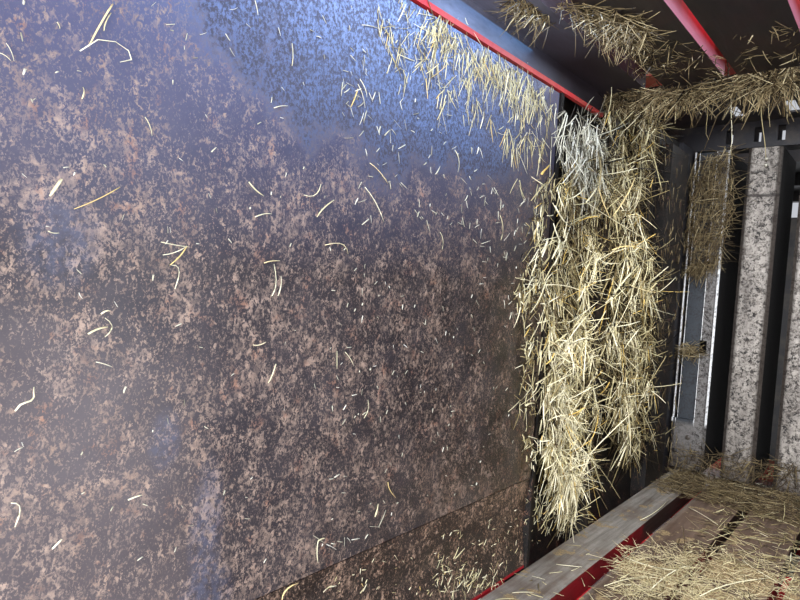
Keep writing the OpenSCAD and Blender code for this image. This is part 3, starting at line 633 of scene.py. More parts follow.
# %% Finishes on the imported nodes
FINISHES = {
    "door_skin": door_steel, "lower_wall": strip_steel, "recess_wall": recess_steel,
    "floor_slats": floor_steel, "front_floor": body_paint, "top_slats": ceiling_steel,
    "upper_corner": corner_steel, "plunger_face": plate_steel, "plunger_body": body_paint,
    "housing_cover": cover_paint(), "housing_wall": housing_paint, "plunger_rail": housing_paint,
    "knotter": housing_paint,
    "side_rod": rod_chrome, "top_rod": rod_chrome, "side_barrel": barrel_paint,
    "top_barrel": barrel_paint, "roller": bright_steel,
}


def finish_for(node):
    """The finish whose name starts the node's name, or else red paint."""
    for start, material in FINISHES.items():
        if node.startswith(start):
            return material
    return red_paint


for name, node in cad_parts.items():
    node.data.materials.clear()
    node.data.materials.append(finish_for(name))
print(len(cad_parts), "nodes finished")

# %% [markdown]
# Straw is pale and golden where it is clean, grey where dust lies on it and brown where it has rotted in a
# corner. Its tones also hold painted light and shade: the darkest stand for straw in shadow, the palest for
# lit straw, and the pale grey of some patches for cool light from above as well as dust. Every stalk keeps
# one number, its tone, as an attribute of the mesh. A colour ramp turns the tone into a colour, so that one
# material gives a heap of straw all its shades.

# %% Straw finishes
# The darkest tones are painted shadow and the palest painted light; the pale tones also hold painted cool light.
STRAW_TONES = [(0.0, linear(20, 15, 10)), (0.22, linear(80, 65, 43)), (0.42, linear(160, 146, 106)),
               (0.62, linear(222, 213, 170)), (0.88, linear(250, 246, 220)), (1.0, linear(240, 206, 120))]
OLD_TONES = [(0.0, linear(24, 19, 14)), (0.3, linear(80, 66, 47)), (0.6, linear(150, 134, 100)),
             (1.0, linear(222, 210, 172))]
PALE_TONES = [(0.0, linear(60, 55, 50)), (0.35, linear(146, 142, 126)), (0.7, linear(210, 208, 188)),
              (1.0, linear(240, 240, 230))]


def toned(name, tones, rough=0.6):
    """A finish whose colour follows the pieces' tone attribute."""
    finish = Finish(name, Roughness=rough, Specular_IOR_Level=0.3)
    tone = finish.add("ShaderNodeAttribute", {"attribute_name": "tone"}, out="Fac")
    ramp = finish.nodes.new("ShaderNodeValToRGB")
    finish.link(ramp.inputs[0], tone)
    while len(ramp.color_ramp.elements) < len(tones):
        ramp.color_ramp.elements.new(0.5)
    for element, (position, colour) in zip(ramp.color_ramp.elements, tones):
        element.position, element.color = position, colour
    return finish.set(Base_Color=Wire(finish, ramp.outputs[0]))


straw = toned("straw", STRAW_TONES)
pale_straw = toned("pale straw", PALE_TONES)
old_straw = toned("old straw", OLD_TONES)
print("three tones of straw")

# %% [markdown]
# A mesh can be filled straight from arrays, which is far quicker than adding one stalk after another. The
# next helpers build a piece from its points and faces and close tubes from rings of points. They serve the
# straw, and later the bolts and the welds as well. ADDED counts each piece's triangles.


# %% Mesh maker
ADDED = {}


def unit(vectors):
    """Vectors brought to a length of 1."""
    return vectors / np.maximum(np.linalg.norm(vectors, axis=-1, keepdims=True), 1e-9)


def mesh_piece(name, body, points, faces, material):
    """A piece from rows of points and blocks of equal-sided faces, riding on a body."""
    mesh = bpy.data.meshes.new(name)
    mesh.vertices.add(len(points))
    mesh.vertices.foreach_set("co", points.astype(np.float32).ravel())
    corners = np.concatenate([block.ravel() for block in faces])
    sizes = np.concatenate([np.full(len(block), block.shape[1]) for block in faces])
    mesh.loops.add(len(corners))
    mesh.loops.foreach_set("vertex_index", corners.astype(np.int32))
    mesh.polygons.add(len(sizes))
    mesh.polygons.foreach_set("loop_start", (np.cumsum(sizes) - sizes).astype(np.int32))
    mesh.update(calc_edges=True)
    mesh.validate()
    piece = bpy.data.objects.new(name, mesh)
    bpy.context.scene.collection.objects.link(piece)
    piece.data.materials.append(material)
    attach(piece, body)
    ADDED[name] = int(np.sum(sizes - 2))
    return piece


def ringed(name, body, blocks, material):
    """Closed tubes from blocks of points, shaped tubes by rings by sides by 3."""
    faces, start = [], 0
    for block in blocks:
        count, rings, sides = block.shape[:3]
        base = start + np.arange(count)[:, None, None] * rings * sides
        ring = [(s, (s + 1) % sides) for s in range(sides)]
        quads = [[r * sides + s, r * sides + after, (r + 1) * sides + after, (r + 1) * sides + s]
                 for r in range(rings - 1) for s, after in ring]
        caps = [list(range(sides))[::-1], [(rings - 1) * sides + k for k in range(sides)]]
        faces += [(base + np.array(rows)[None]).reshape(-1, len(rows[0])) for rows in (quads, caps)]
        start += count * rings * sides
    return mesh_piece(name, body, np.concatenate([block.reshape(-1, 3) for block in blocks]), faces, material)


print("mesh maker ready")

# %% [markdown]
# Straw is thousands of stiff, thin stalks. Modelling each by hand would be hopeless, so one function makes
# them all at once: every stalk is a tube round a spine of four points, with closed ends. It is flattened
# to half its width, as dry straw is, and tapers towards its tip.


# %% Stalks
def tubes(name, body, spines, radii, tones, material, sides=3, flat=0.5):
    """Closed tubes round many spines with as many points each, and a tone for each tube."""
    rings = spines.shape[1]
    heading = unit(np.gradient(spines, axis=1))
    slanted = np.array([0.31, 0.22, 0.93])
    side = unit(np.cross(heading, slanted))
    other = np.cross(heading, side)
    turn = (np.arange(sides) * 2 * math.pi / sides)[:, None]
    ring = np.cos(turn) * side[:, :, None] + flat * np.sin(turn) * other[:, :, None]
    piece = ringed(name, body, [spines[:, :, None] + ring * radii[:, :, None, None]], material)
    attribute = piece.data.attributes.new("tone", "FLOAT", "POINT")
    attribute.data.foreach_set("value", np.repeat(np.clip(tones, 0, 1), rings * sides).astype(np.float32))
    return piece


def stalks(name, body, roots, heading, lengths, widths, bend, tones, material=straw):
    """Stalks from arrays of root points, headings, lengths, widths, bend vectors and tones."""
    along = np.linspace(0, 1, 4)
    spines = (roots[:, None] + unit(heading)[:, None] * (lengths[:, None] * along)[:, :, None]
              + bend[:, None] * (along ** 2)[None, :, None])
    taper = np.array([1, 1, 0.9, 0.6])
    return tubes(name, body, spines, widths[:, None] / 2 * taper, tones, material)


def mirrored(arrays, keep=1):
    """The same stalks on the right side, keeping one in so many."""
    roots, heading, lengths, widths, bend, tones = (values[::keep] for values in arrays)
    flip = np.array([-1, 1, 1])
    return roots * flip, heading * flip, lengths, widths, bend * flip, tones


print("straw maker ready")

# %% [markdown]
# Straw packs into the recess in the wall ahead of each door, because that is what it is for: it holds the
# pressed bale when the plunger draws back. It hangs in tufts. The stalks of a tuft share a lean, a tone
# and a depth, so the dark wall shows between the tufts, and loose stalks lie across them. The outlines are
# pixels of the photograph, and each root goes to a depth between the recess and the chamber.

# %% Hanging straw
CURTAIN = [(536, 96), (604, 128), (606, 160), (592, 196), (572, 160), (540, 118)]
COLUMN_A = [(564, 172), (602, 140), (604, 196), (596, 262), (584, 330), (598, 356), (596, 425), (584, 470),
            (580, 526), (568, 530), (560, 470), (546, 440), (550, 360), (542, 310), (556, 262), (562, 205)]
COLUMN_B = [(606, 94), (638, 98), (660, 108), (656, 150), (642, 196), (640, 228), (652, 262), (654, 330),
            (650, 395), (654, 440), (638, 456), (624, 440), (616, 400), (620, 356), (606, 342), (610, 262),
            (610, 190)]
COLUMN_EDGE = [(556, 176), (570, 200), (562, 262), (554, 310), (560, 360), (556, 440), (566, 480), (572, 520),
               (552, 486), (540, 440), (542, 380), (538, 320), (544, 262), (552, 210)]
DOOR_FRINGE = [(548, 160), (552, 190), (544, 250), (532, 310), (540, 360), (534, 430), (544, 470), (530, 470),
               (522, 410), (526, 340), (518, 300), (534, 250), (542, 190)]
RECESS_IN = RECESS_X - 0.009
RECESS_DEEP, PROUD = RECESS_IN - 0.001, WALL_X - 0.055
STALK_WIDTH = 0.0031
# How many pixels a column is tall, over which painted light brightens its tone downwards
COLUMN_TALL = 350
print("columns stand", round(WALL_X - PROUD, 3), "proud of the door")

# %% [markdown]
# Doors move and walls don't, so a stalk belongs to one or the other. Stalks that hang from the wall and
# reach a door are left out, and so are stalks on a door that reach past its edge. Both tests only need the
# lowest and highest corner of each stalk.


# %% Keeping straw and doors apart
def reach_of(arrays):
    """The lowest and highest corner of each stalk, with its bend."""
    roots, heading, lengths, widths, bend = arrays[:5]
    straight = roots + unit(heading) * lengths[:, None]
    places = np.stack([roots, straight, straight + bend])
    return places.min(0), places.max(0)


def kept(arrays, keep):
    """Only the stalks that are to be kept."""
    return tuple(values[keep] for values in arrays)


def clear_of_door(arrays):
    """Drops the stalks that would touch a side door, which moves, but hang from the fixed wall."""
    low, high = reach_of(arrays)
    ahead = low[:, 1] > DOOR_END + 0.025
    proud = np.maximum(np.abs(low[:, 0]), np.abs(high[:, 0])) < WALL_X - 0.038
    return kept(arrays, ahead | proud)


def on_door(arrays):
    """Keeps the stalks that stay over their own door, clear of the fixed wall round it."""
    low, high = reach_of(arrays)
    flat = np.minimum(np.abs(low[:, 0]), np.abs(high[:, 0])) > WALL_X - 0.03
    flat = flat | (high[:, 1] < DOOR_END - 0.2)
    return kept(arrays, flat & (high[:, 1] < DOOR_END - 0.012) & (low[:, 2] > DOOR_LOW + 0.02))


print("straw and doors kept apart")

# %% [markdown]
# The tufts come first and the stalks second. A tuft has a place in the outline, a size, a lean, a tone and
# a depth, and each of its stalks differs a little from it. A stalk in the middle of a tuft stands further
# out and is paler as painted light, and those at the back are darker as painted shade.


# %% Tufts
def tufts(outline, seed, count, tuft_count, spread, deep, proud, lengths=(0.025, 0.11), loose=0.5,
          tone=0.0, painted_light=0.0):
    """Stalks whose tufts fill an outline of the photograph, between two depths of the left side."""
    rng = np.random.default_rng(seed)
    cx, cy = fill(outline, tuft_count, rng)
    size = rng.uniform(0.5, 1.3, len(cx)) * spread
    which = rng.choice(len(cx), count, p=size ** 2 / np.sum(size ** 2))
    off = rng.normal(0, 1, (count, 2)) * size[which, None] * np.array([0.6, 1.1])
    px, py = cx[which] + off[:, 0], cy[which] + off[:, 1]
    bulge = np.exp(-0.9 * np.sum((off / size[which, None]) ** 2, 1))
    depth = np.clip(bulge * rng.uniform(0.5, 1, len(cx))[which] + rng.uniform(-0.15, 0.2, count), 0, 1)
    roots = on_plane(px, py, 0, -(deep + (proud - deep) * depth))
    lean = rng.normal(0, 0.45, len(cx))[which]
    hanging = np.stack([rng.normal(0.06, 0.2, count), lean + rng.normal(0, 0.3, count),
                        -1 + rng.normal(0, 0.35, count)], 1)
    crossing = rng.normal(0, 1, (count, 3)) * np.array([0.5, 1, 0.7])
    heading = np.where((rng.random(count) < loose)[:, None], crossing, hanging)
    reach = rng.uniform(*lengths, count) * np.where(rng.random(count) < 0.04, 1.6, 1)
    bend = rng.normal(0, 0.22, (count, 3)) * reach[:, None] * np.array([0.4, 1, 0.7])
    widths = np.clip(rng.lognormal(math.log(STALK_WIDTH), 0.38, count), 0.0014, 0.007)
    # Deeper stalks get darker tones as painted shade, proud ones paler as painted light.
    tones = 0.02 + 0.85 * depth + rng.normal(0, 0.09, len(cx))[which] + rng.normal(0, 0.2, count) + tone
    # Painted light also brightens a column towards its foot.
    tones = tones + painted_light * (py - outline[0][1]) / COLUMN_TALL
    tones = np.where(rng.random(count) < 0.035, 1.0, np.clip(tones, 0, 0.9))
    low = reach_of((roots, heading, reach, widths, bend))[0]
    roots[:, 0] += np.maximum(0, -RECESS_IN - low[:, 0])
    return roots, heading, reach, widths, bend, tones


HANGING = {
    "column_a": (straw, tufts(COLUMN_A, 11, 9000, 130, 10, RECESS_DEEP, PROUD, tone=-0.3, painted_light=0.46)),
    "column_edge": (straw, tufts(COLUMN_EDGE, 14, 1050, 90, 7, WALL_X - 0.022, WALL_X - 0.075,
                                 (0.02, 0.08), tone=-0.16, painted_light=0.34)),
    "column_b": (straw, tufts(COLUMN_B, 12, 8600, 140, 9, RECESS_DEEP, PROUD + 0.01, tone=-0.22,
                              painted_light=0.08)),
    "curtain": (pale_straw, tufts(CURTAIN, 13, 620, 60, 7, WALL_X - 0.022, WALL_X - 0.06, (0.03, 0.10),
                                  0.2)),
}
for label, (look, arrays) in HANGING.items():
    arrays = clear_of_door(arrays)
    stalks(f"straw_{label}_left", "chamber", *arrays, look)
    stalks(f"straw_{label}_right", "chamber", *mirrored(arrays, 4), look)
fringe = on_door(tufts(DOOR_FRINGE, 15, 620, 80, 7, WALL_X - 0.002, WALL_X - 0.03, (0.012, 0.05), 0.6, 0.1))
stalks("straw_fringe_left", "side_door_left", *fringe)
stalks("straw_fringe_right", "side_door_right", *mirrored(fringe, 2))
print(sum(ADDED.values()), "triangles of hanging straw")

# %% [markdown]
# A few longer stalks stand out, such as those that the last bale pressed on the left door. Each is drawn
# through three or four pixels with a smooth curve, then lifted off its plane by half its thickness.

# %% Single stalks
# Pixels that each stalk passes through; the number at the end of a row is its width in millimetres
DOOR_STALKS = [
    ((113, 4), (102, 22), (89, 46), 2.6), ((111, 13), (106, 22), (104, 31), 2.0),
    ((80, 51), (110, 40), (131, 54), (120, 62), 2.6), ((0, 53), (6, 56), (11, 61), 2.2),
    ((6, 43), (11, 51), (14, 61), 2.0), ((57, 22), (59, 25), (60, 29), 2.6),
    ((83, 87), (84, 93), (82, 99), 2.2), ((62, 179), (56, 188), (50, 196), 4.6),
    ((120, 187), (98, 199), (74, 209), 2.0),
    ((161, 242), (175, 245), (189, 247), 2.8), ((163, 255), (176, 252), (187, 246), 2.0),
    ((187, 246), (180, 256), (170, 265), 2.4), ((171, 265), (179, 270), (175, 289), 2.2),
    ((145, 117), (150, 126), (152, 136), 2.2), ((48, 231), (53, 233), (59, 233), 2.4),
    ((249, 182), (256, 190), (264, 196), 4.4), ((255, 217), (264, 214), (272, 214), 2.4),
    ((304, 195), (315, 195), (321, 184), 2.4), ((334, 200), (324, 208), (317, 217), 3.0),
    ((325, 245), (342, 244), (348, 254), 2.4), ((264, 263), (272, 261), (280, 261), 2.4),
    ((274, 264), (276, 283), (272, 296), 2.6), ((281, 276), (281, 286), (278, 296), 2.2),
    ((360, 79), (365, 88), (367, 97), 2.6), ((358, 84), (363, 96), (365, 108), 2.4),
    ((358, 89), (355, 98), (351, 107), 2.6), ((274, 108), (281, 106), (288, 106), 2.2),
    ((292, 43), (293, 55), (292, 66), 2.6), ((362, 25), (371, 26), (380, 29), 2.4),
    ((255, 0), (257, 8), (258, 15), 2.4), ((370, 163), (380, 172), (388, 184), 3.0),
    ((365, 187), (376, 203), (384, 222), 2.8), ((101, 314), (106, 311), (110, 311), 3.0),
    ((88, 334), (98, 329), (108, 327), 3.4), ((105, 318), (112, 327), (105, 337), 2.2),
    ((96, 362), (104, 364), (112, 367), 2.4), ((15, 411), (24, 403), (32, 400), (34, 387), 3.0),
    ((11, 503), (20, 508), (15, 527), 2.6), ((128, 500), (135, 497), (142, 495), 3.0),
    ((52, 549), (57, 544), (62, 539), 2.8), ((337, 351), (337, 360), (337, 369), 3.0),
    ((345, 352), (350, 358), (354, 366), 2.4), ((318, 541), (317, 552), (318, 563), 4.0),
    ((318, 541), (321, 539), (325, 538), 3.0), ((282, 601), (286, 590), (298, 583), 3.0),
    ((378, 504), (377, 511), (375, 517), 4.4), ((388, 482), (390, 490), (396, 498), 2.6),
    ((253, 345), (259, 345), (266, 342), 2.6), ((276, 364), (272, 376), (268, 383), 2.4),
    ((368, 400), (368, 410), (364, 418), 2.4), ((440, 232), (443, 240), (442, 250), 2.0),
    ((455, 150), (459, 160), (458, 172), 2.4), ((500, 215), (503, 228), (501, 240), 2.4),
]


def curve_through(points, steps=6):
    """A smooth curve through three or four points, at evenly spaced parameters."""
    points = np.asarray(points, float)
    knots = np.linspace(0, 1, len(points))
    fit = np.polyfit(knots, points, len(points) - 1)
    return np.stack([np.polyval(fit[:, k], np.linspace(0, 1, steps)) for k in range(points.shape[1])], 1)


def drawn_stalks(name, body, rows, axis, level, lift, tones, material=straw):
    """Stalks through pixels, lying on the side of a plane that the camera sees."""
    away = math.copysign(1, EYE[axis] - level)
    spines, radii = [], []
    for *pixels, width in rows:
        track = curve_through(pixels)
        radius = width / 2000
        spines.append(on_plane(track[:, 0], track[:, 1], axis, level + away * (lift + radius * 0.5)))
        radii.append(radius * np.array([0.8, 1, 1, 1, 0.9, 0.5]))
    return tubes(name, body, np.array(spines), np.array(radii), tones, material)


DOOR_TONES = np.random.default_rng(31).uniform(0.66, 0.98, len(DOOR_STALKS))
drawn_stalks("stalks_on_door_left", "side_door_left", DOOR_STALKS, 0, -WALL_X, 0.0005, DOOR_TONES)
print(len(DOOR_STALKS), "single stalks on the door")

# %% [markdown]
# The rest of the straw is litter. Each patch of it is an outline with a number of bits. A bit starts on the
# plane that carries it and lies nearly flat, or hangs down where it clings to a wall. Where bits come in
# clumps, they share a pixel and scatter round it.


# %% Litter maker
CLUMP_PIXELS = 3.0
BIT_LIFT = 0.001


def litter(name, body, rows, axis, level, seed, tone, material=straw, mirror=False, standing=0.12,
           hang=0.0, thick=1.0, across=None, clump=1):
    """Short bits scattered in outlines on a plane, lying nearly flat. Hang turns them downwards."""
    rng = np.random.default_rng(seed)
    away = math.copysign(1, EYE[axis] - level)
    parts = []
    for outline, count, shortest, longest in rows:
        spots = fill(outline, count // clump, rng)
        px, py = (np.repeat(line, clump) + rng.normal(0, CLUMP_PIXELS, len(line) * clump) * (clump > 1)
                  for line in spots)
        roots = on_plane(px, py, axis, level + away * BIT_LIFT)
        heading = rng.normal(0, 1, (len(px), 3)) - np.array([0, 0, hang])
        heading[:, axis] = away * np.abs(rng.normal(0.02, standing, len(px)))
        reach = rng.uniform(shortest, longest, len(px))
        bend = rng.normal(0, 0.12, (len(px), 3)) * reach[:, None]
        bend[:, axis] = 0
        tones = np.clip(tone + rng.normal(0, 0.16, len(px)), 0, 1)
        parts.append((roots, heading, reach, thick * rng.uniform(0.0012, 0.003, len(px)), bend, tones))
    arrays = tuple(np.concatenate(column) for column in zip(*parts))
    arrays = on_door(arrays) if body.startswith("side_door") else arrays
    if across:
        ends = np.abs(np.stack([side[:, 0] for side in reach_of(arrays)]))
        arrays = kept(arrays, (ends.min(0) >= across[0]) & (ends.max(0) < across[1]))
    return stalks(name, body, *(mirrored(arrays) if mirror else arrays), material)


print("litter maker ready")

# %% [markdown]
# Short bits cling to the door where static and damp hold them, and more gather under the lip of the upper
# corner, on the hinge post and on the lower strip. The photograph shows the left side, and the right side
# gets the same patches mirrored.

# %% Litter on the walls
# Outline of each patch of litter, how many bits it holds, and their shortest and longest in metres
DOOR_LITTER = [
    ([(340, 40), (480, 80), (500, 230), (350, 220)], 130, 0.005, 0.022),
    ([(480, 180), (548, 190), (545, 330), (470, 300)], 90, 0.006, 0.024),
    ([(120, 60), (330, 20), (330, 560), (120, 560)], 50, 0.003, 0.009),
    ([(0, 0), (120, 0), (120, 600), (0, 600)], 20, 0.003, 0.010),
    ([(330, 240), (520, 330), (520, 470), (330, 545)], 110, 0.003, 0.012),
    ([(322, 540), (390, 522), (400, 528), (330, 562)], 26, 0.008, 0.034),
    ([(120, 0), (420, 0), (420, 40), (120, 60)], 20, 0.004, 0.014),
]
UNDER_LIP = [
    ([(372, 0), (428, 0), (600, 120), (600, 166), (540, 156), (470, 120), (400, 70)], 460, 0.008, 0.05),
    ([(430, 10), (600, 122), (596, 140), (540, 110), (470, 66), (424, 30)], 320, 0.012, 0.07),
    ([(500, 120), (600, 150), (560, 240), (530, 220)], 200, 0.015, 0.06),
]
POST_LITTER = [([(660, 140), (686, 150), (682, 470), (652, 470)], 260, 0.01, 0.07)]
STRIP_LITTER = [
    ([(438, 560), (470, 556), (480, 596), (436, 592)], 60, 0.008, 0.03),
    ([(470, 570), (500, 565), (506, 590), (474, 594)], 40, 0.008, 0.03),
    ([(300, 590), (530, 500), (540, 545), (480, 600)], 110, 0.004, 0.016),
    ([(524, 490), (556, 480), (558, 520), (540, 540)], 90, 0.01, 0.04),
]
for side, mirror in (("left", False), ("right", True)):
    door = f"side_door_{side}"
    litter(f"litter_on_door_{side}", door, DOOR_LITTER, 0, -WALL_X, 32, 0.7, pale_straw, mirror, hang=0.8)
    litter(f"straw_under_lip_{side}", door, UNDER_LIP, 0, -WALL_X, 34, 0.66, mirror=mirror, hang=1.8,
           thick=1.05, clump=4)
    litter(f"litter_on_post_{side}", "chamber", POST_LITTER, 0, -WALL_X, 36, 0.4, old_straw, mirror,
           hang=1.6, thick=1.2, clump=3)
    litter(f"litter_on_strip_{side}", "chamber", STRIP_LITTER, 0, -WALL_X - 0.006, 33, 0.66, mirror=mirror)

# Long stalks that lie across the hanging straw
CROSSING = [((586, 202), (592, 195), (598, 186), 5.0), ((586, 202), (620, 224), (655, 244), 4.6),
            ((598, 186), (603, 202), (610, 218), 5.0), ((635, 178), (626, 197), (613, 216), 4.6),
            ((651, 147), (657, 170), (662, 192), 4.0), ((635, 253), (650, 268), (665, 280), 4.4),
            ((676, 277), (668, 285), (659, 292), 3.6), ((630, 285), (644, 290), (658, 293), 4.4),
            ((546, 285), (566, 286), (586, 293), 5.0), ((548, 340), (566, 352), (580, 366), 4.6),
            ((556, 410), (570, 420), (590, 424), 5.0), ((600, 372), (614, 380), (628, 398), 4.6),
            ((612, 250), (630, 246), (648, 252), 4.6), ((560, 455), (572, 462), (586, 480), 5.0),
            ((552, 240), (566, 246), (584, 256), 4.4), ((618, 300), (632, 310), (648, 318), 4.4)]
CROSSING_TONES = np.random.default_rng(35).uniform(0.6, 0.98, len(CROSSING))
drawn_stalks("stalks_across_columns", "chamber", CROSSING, 0, 0.012 - PROUD, 0.0, CROSSING_TONES)
print("litter:", sum(row[1] for row in DOOR_LITTER), "bits on the door")

# %% [markdown]
# On the floor the litter is brown, pale only in the patch nearest the camera, and deep only at the
# plunger's foot. A heap is a rounded form over a rectangle. Each bit gets a random height inside that form,
# so bits lie on bits from the floor up.


# %% Chaff on the floor
def heap(arrays, low, high, height, seed):
    """Raises roots inside a rectangle to random heights in a rounded heap."""
    roots = arrays[0].copy()
    rng = np.random.default_rng(seed)
    middle, half = (np.array(low) + high) / 2, (np.array(high) - low) / 2
    off = np.clip(np.abs((roots[:, :2] - middle) / half), 0, 1)
    roots[:, 2] += height * (1 - off[:, 0] ** 2) * (1 - off[:, 1] ** 2) * rng.uniform(0, 1, len(roots))
    return (roots, *arrays[1:])


def floor_bits(seed, count, low, high, lengths, tone, height=0.0):
    """Bits scattered on a rectangle of the floor, heaped up where a height is given."""
    rng = np.random.default_rng(seed)
    roots = np.column_stack([rng.uniform(low, high, (count, 2)), np.full(count, FLOOR_Z + 0.001)])
    heading = rng.normal(0, 1, (count, 3)) * np.array([1, 1, 0.0])
    heading[:, 2] = np.abs(rng.normal(0.03, 0.1, count))
    reach = rng.uniform(*lengths, count)
    bend = rng.normal(0, 0.12, (count, 3)) * reach[:, None] * np.array([1, 1, 0.2])
    arrays = (roots, heading, reach, rng.uniform(0.0015, 0.0036, count), bend,
              np.clip(tone + rng.normal(0, 0.15, count), 0, 1))
    return heap(arrays, low, high, height, seed) if height else arrays


INNER = WALL_X - 0.02
# Seed, how many bits, near left and far right corner, their lengths, tone, the heap's height and finish
CHAFF = {
    "foot": (41, 5200, (-INNER, FACE_Y - 0.34), (INNER, FACE_Y - 0.02), (0.01, 0.08), 0.42, 0.055, old_straw),
    "middle": (42, 2600, (-0.36, FACE_Y - 1.9), (INNER, FACE_Y - 0.30), (0.01, 0.09), 0.42, 0.0, straw),
    "thin": (43, 900, (-INNER, REAR_Y + 0.05), (INNER, FACE_Y - 1.0), (0.01, 0.06), 0.55, 0.0, straw),
}
for label, (*values, look) in CHAFF.items():
    stalks(f"chaff_{label}", "chamber", *floor_bits(*values), look)
FLOOR_HEAPS = [([(622, 548), (690, 545), (700, 600), (612, 600)], 900, 0.006, 0.04),
               ([(690, 545), (800, 560), (800, 600), (690, 600)], 700, 0.006, 0.04),
               ([(630, 560), (690, 560), (700, 600), (620, 596)], 90, 0.05, 0.11)]
litter("chaff_heaps", "chamber", FLOOR_HEAPS, 2, FLOOR_Z, 44, 0.95, old_straw, standing=0.16, clump=3)
FLOOR_STALKS = [((688, 507), (703, 515), (718, 525), 4.0), ((739, 480), (770, 488), (800, 502), 3.4),
                ((735, 480), (770, 495), (800, 510), 3.0), ((690, 470), (730, 480), (770, 484), 3.0),
                ((640, 520), (655, 512), (668, 500), 3.0), ((622, 556), (650, 566), (676, 570), 3.6),
                ((650, 590), (672, 572), (690, 566), 3.4), ((700, 596), (730, 584), (770, 578), 3.6),
                ((604, 586), (640, 577), (668, 581), 3.2), ((742, 560), (760, 572), (792, 590), 3.4)]
FLOOR_TONES = np.random.default_rng(45).uniform(0.6, 0.92, len(FLOOR_STALKS))
drawn_stalks("stalks_on_floor", "chamber", FLOOR_STALKS, 2, FLOOR_Z, 0.004, FLOOR_TONES)
print(sum(count for name, count in ADDED.items() if "chaff" in name), "triangles of chaff")

# %% [markdown]
# The plunger drags straw along. It hangs over the left column in a dirty clump, sticks in two small plugs
# below it and lies at the foot of the plates. The right side gets the clump and the plugs mirrored. All of
# this straw rides on the plunger, so it moves with it.

# %% Straw on the plunger
# Outlines of the straw caught on the plunger
PLUNGER_CLUMP = [(690, 165), (735, 145), (735, 200), (722, 262), (700, 275), (684, 240), (682, 200)]
PLUNGER_PLUGS = [[(672, 262), (706, 264), (704, 276), (674, 274)],
                 [(668, 342), (702, 346), (700, 357), (670, 356)]]
PLUNGER_FOOT = [(664, 446), (800, 462), (800, 482), (664, 470)]
RAIL_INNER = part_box("plunger_rail_right")[0].x


def on_face(outline, seed, count, lengths, tone, across, proud):
    """Stalks on the plunger's face, inside an outline of the photograph. Across is the share laid level."""
    rng = np.random.default_rng(seed)
    px, py = fill(outline, count, rng)
    roots = on_plane(px, py, 1, FACE_Y - 0.002) - np.array([0, 1, 0]) * rng.uniform(0, proud, (count, 1))
    level = rng.random(count) < across
    lying = rng.normal(0, 1, (count, 3)) * np.array([1, 0.2, 0.25])
    hanging = rng.normal(0, 1, (count, 3)) * np.array([0.35, 0.12, 0.1]) - np.array([0, 0, 1])
    heading = np.where(level[:, None], lying, hanging)
    reach = rng.uniform(*lengths, count)
    bend = rng.normal(0, 0.2, (count, 3)) * reach[:, None] * np.array([1, 0.1, 0.5])
    widths = rng.uniform(0.0018, 0.0042, count)
    arrays = roots, heading, reach, widths, bend, tone + rng.normal(0, 0.16, count)
    low, high = reach_of(arrays)
    return kept(arrays, np.maximum(-low[:, 0], high[:, 0]) < RAIL_INNER - 0.012)


CLUMP = on_face(PLUNGER_CLUMP, 51, 1500, (0.02, 0.09), 0.42, 0.4, 0.05)
PLUGS = [on_face(outline, 52 + number, 300, (0.02, 0.06), 0.48, 0.9, 0.03)
         for number, outline in enumerate(PLUNGER_PLUGS)]
for side, turn in (("left", lambda arrays: arrays), ("right", mirrored)):
    stalks(f"plunger_clump_{side}", "plunger", *turn(CLUMP), old_straw)
    for number, plug in enumerate(PLUGS):
        stalks(f"plunger_plug_{number + 1}_{side}", "plunger", *turn(plug), old_straw)
foot = on_face(PLUNGER_FOOT, 55, 420, (0.02, 0.09), 0.34, 0.7, 0.02)
stalks("plunger_foot_straw", "plunger", *foot, old_straw)
print(sum(count for name, count in ADDED.items() if "plunger" in name), "triangles on the plunger")

# %% [markdown]
# The ceiling's end catches straw too. A thin fringe lies over the edge and hangs down, four strands hang
# lower, and tufts stick in the upper corner. All but those of the fixed corner ride on the top door.

# %% Straw under the ceiling
# Outline of each patch, how many stalks it holds, how far they hang and their tone
FRINGE = [([(603, 90), (650, 90), (650, 102), (603, 106)], 240, 0.4, 0.4),
          ([(650, 88), (705, 84), (705, 96), (650, 100)], 230, 0.6, 0.5),
          ([(705, 80), (740, 76), (740, 88), (705, 94)], 70, 0.3, 0.4),
          ([(736, 68), (800, 60), (800, 90), (736, 94)], 430, 0.8, 0.5)]
for number, (outline, count, hang, tone) in enumerate(FRINGE):
    rng = np.random.default_rng(61 + number)
    px, py = fill(outline, count, rng)
    roots = on_plane(px, py, 1, CEILING_END + 0.01)
    roots[:, 2] = np.clip(roots[:, 2], CEILING_Z - 0.03, CEILING_Z + 0.012)
    heading = rng.normal(0, 1, (count, 3)) * np.array([0.8, 0.5, 0.4]) - np.array([0, 0, hang])
    reach = rng.uniform(0.02, 0.09, count) * np.where(rng.random(count) < 0.08, 1.7, 1)
    bend = rng.normal(0, 0.2, (count, 3)) * reach[:, None]
    widths = rng.uniform(0.002, 0.0052, count)
    tones = tone + rng.normal(0, 0.24, count)
    stalks(f"ceiling_fringe_{number + 1}", "top_door", roots, heading, reach, widths, bend, tones, old_straw)
STRANDS = [((763, 84), (761, 110), (764, 136), (766, 158), 4.4),
           ((733, 84), (731, 108), (732, 132), (730, 155), 3.0),
           ((704, 92), (708, 110), (706, 128), (709, 140), 3.0),
           ((788, 80), (790, 96), (787, 112), (789, 124), 2.8)]
drawn_stalks("hanging_strands", "top_door", STRANDS, 1, CEILING_END + 0.012, 0.0, [0.45, 0.8, 0.4, 0.4])
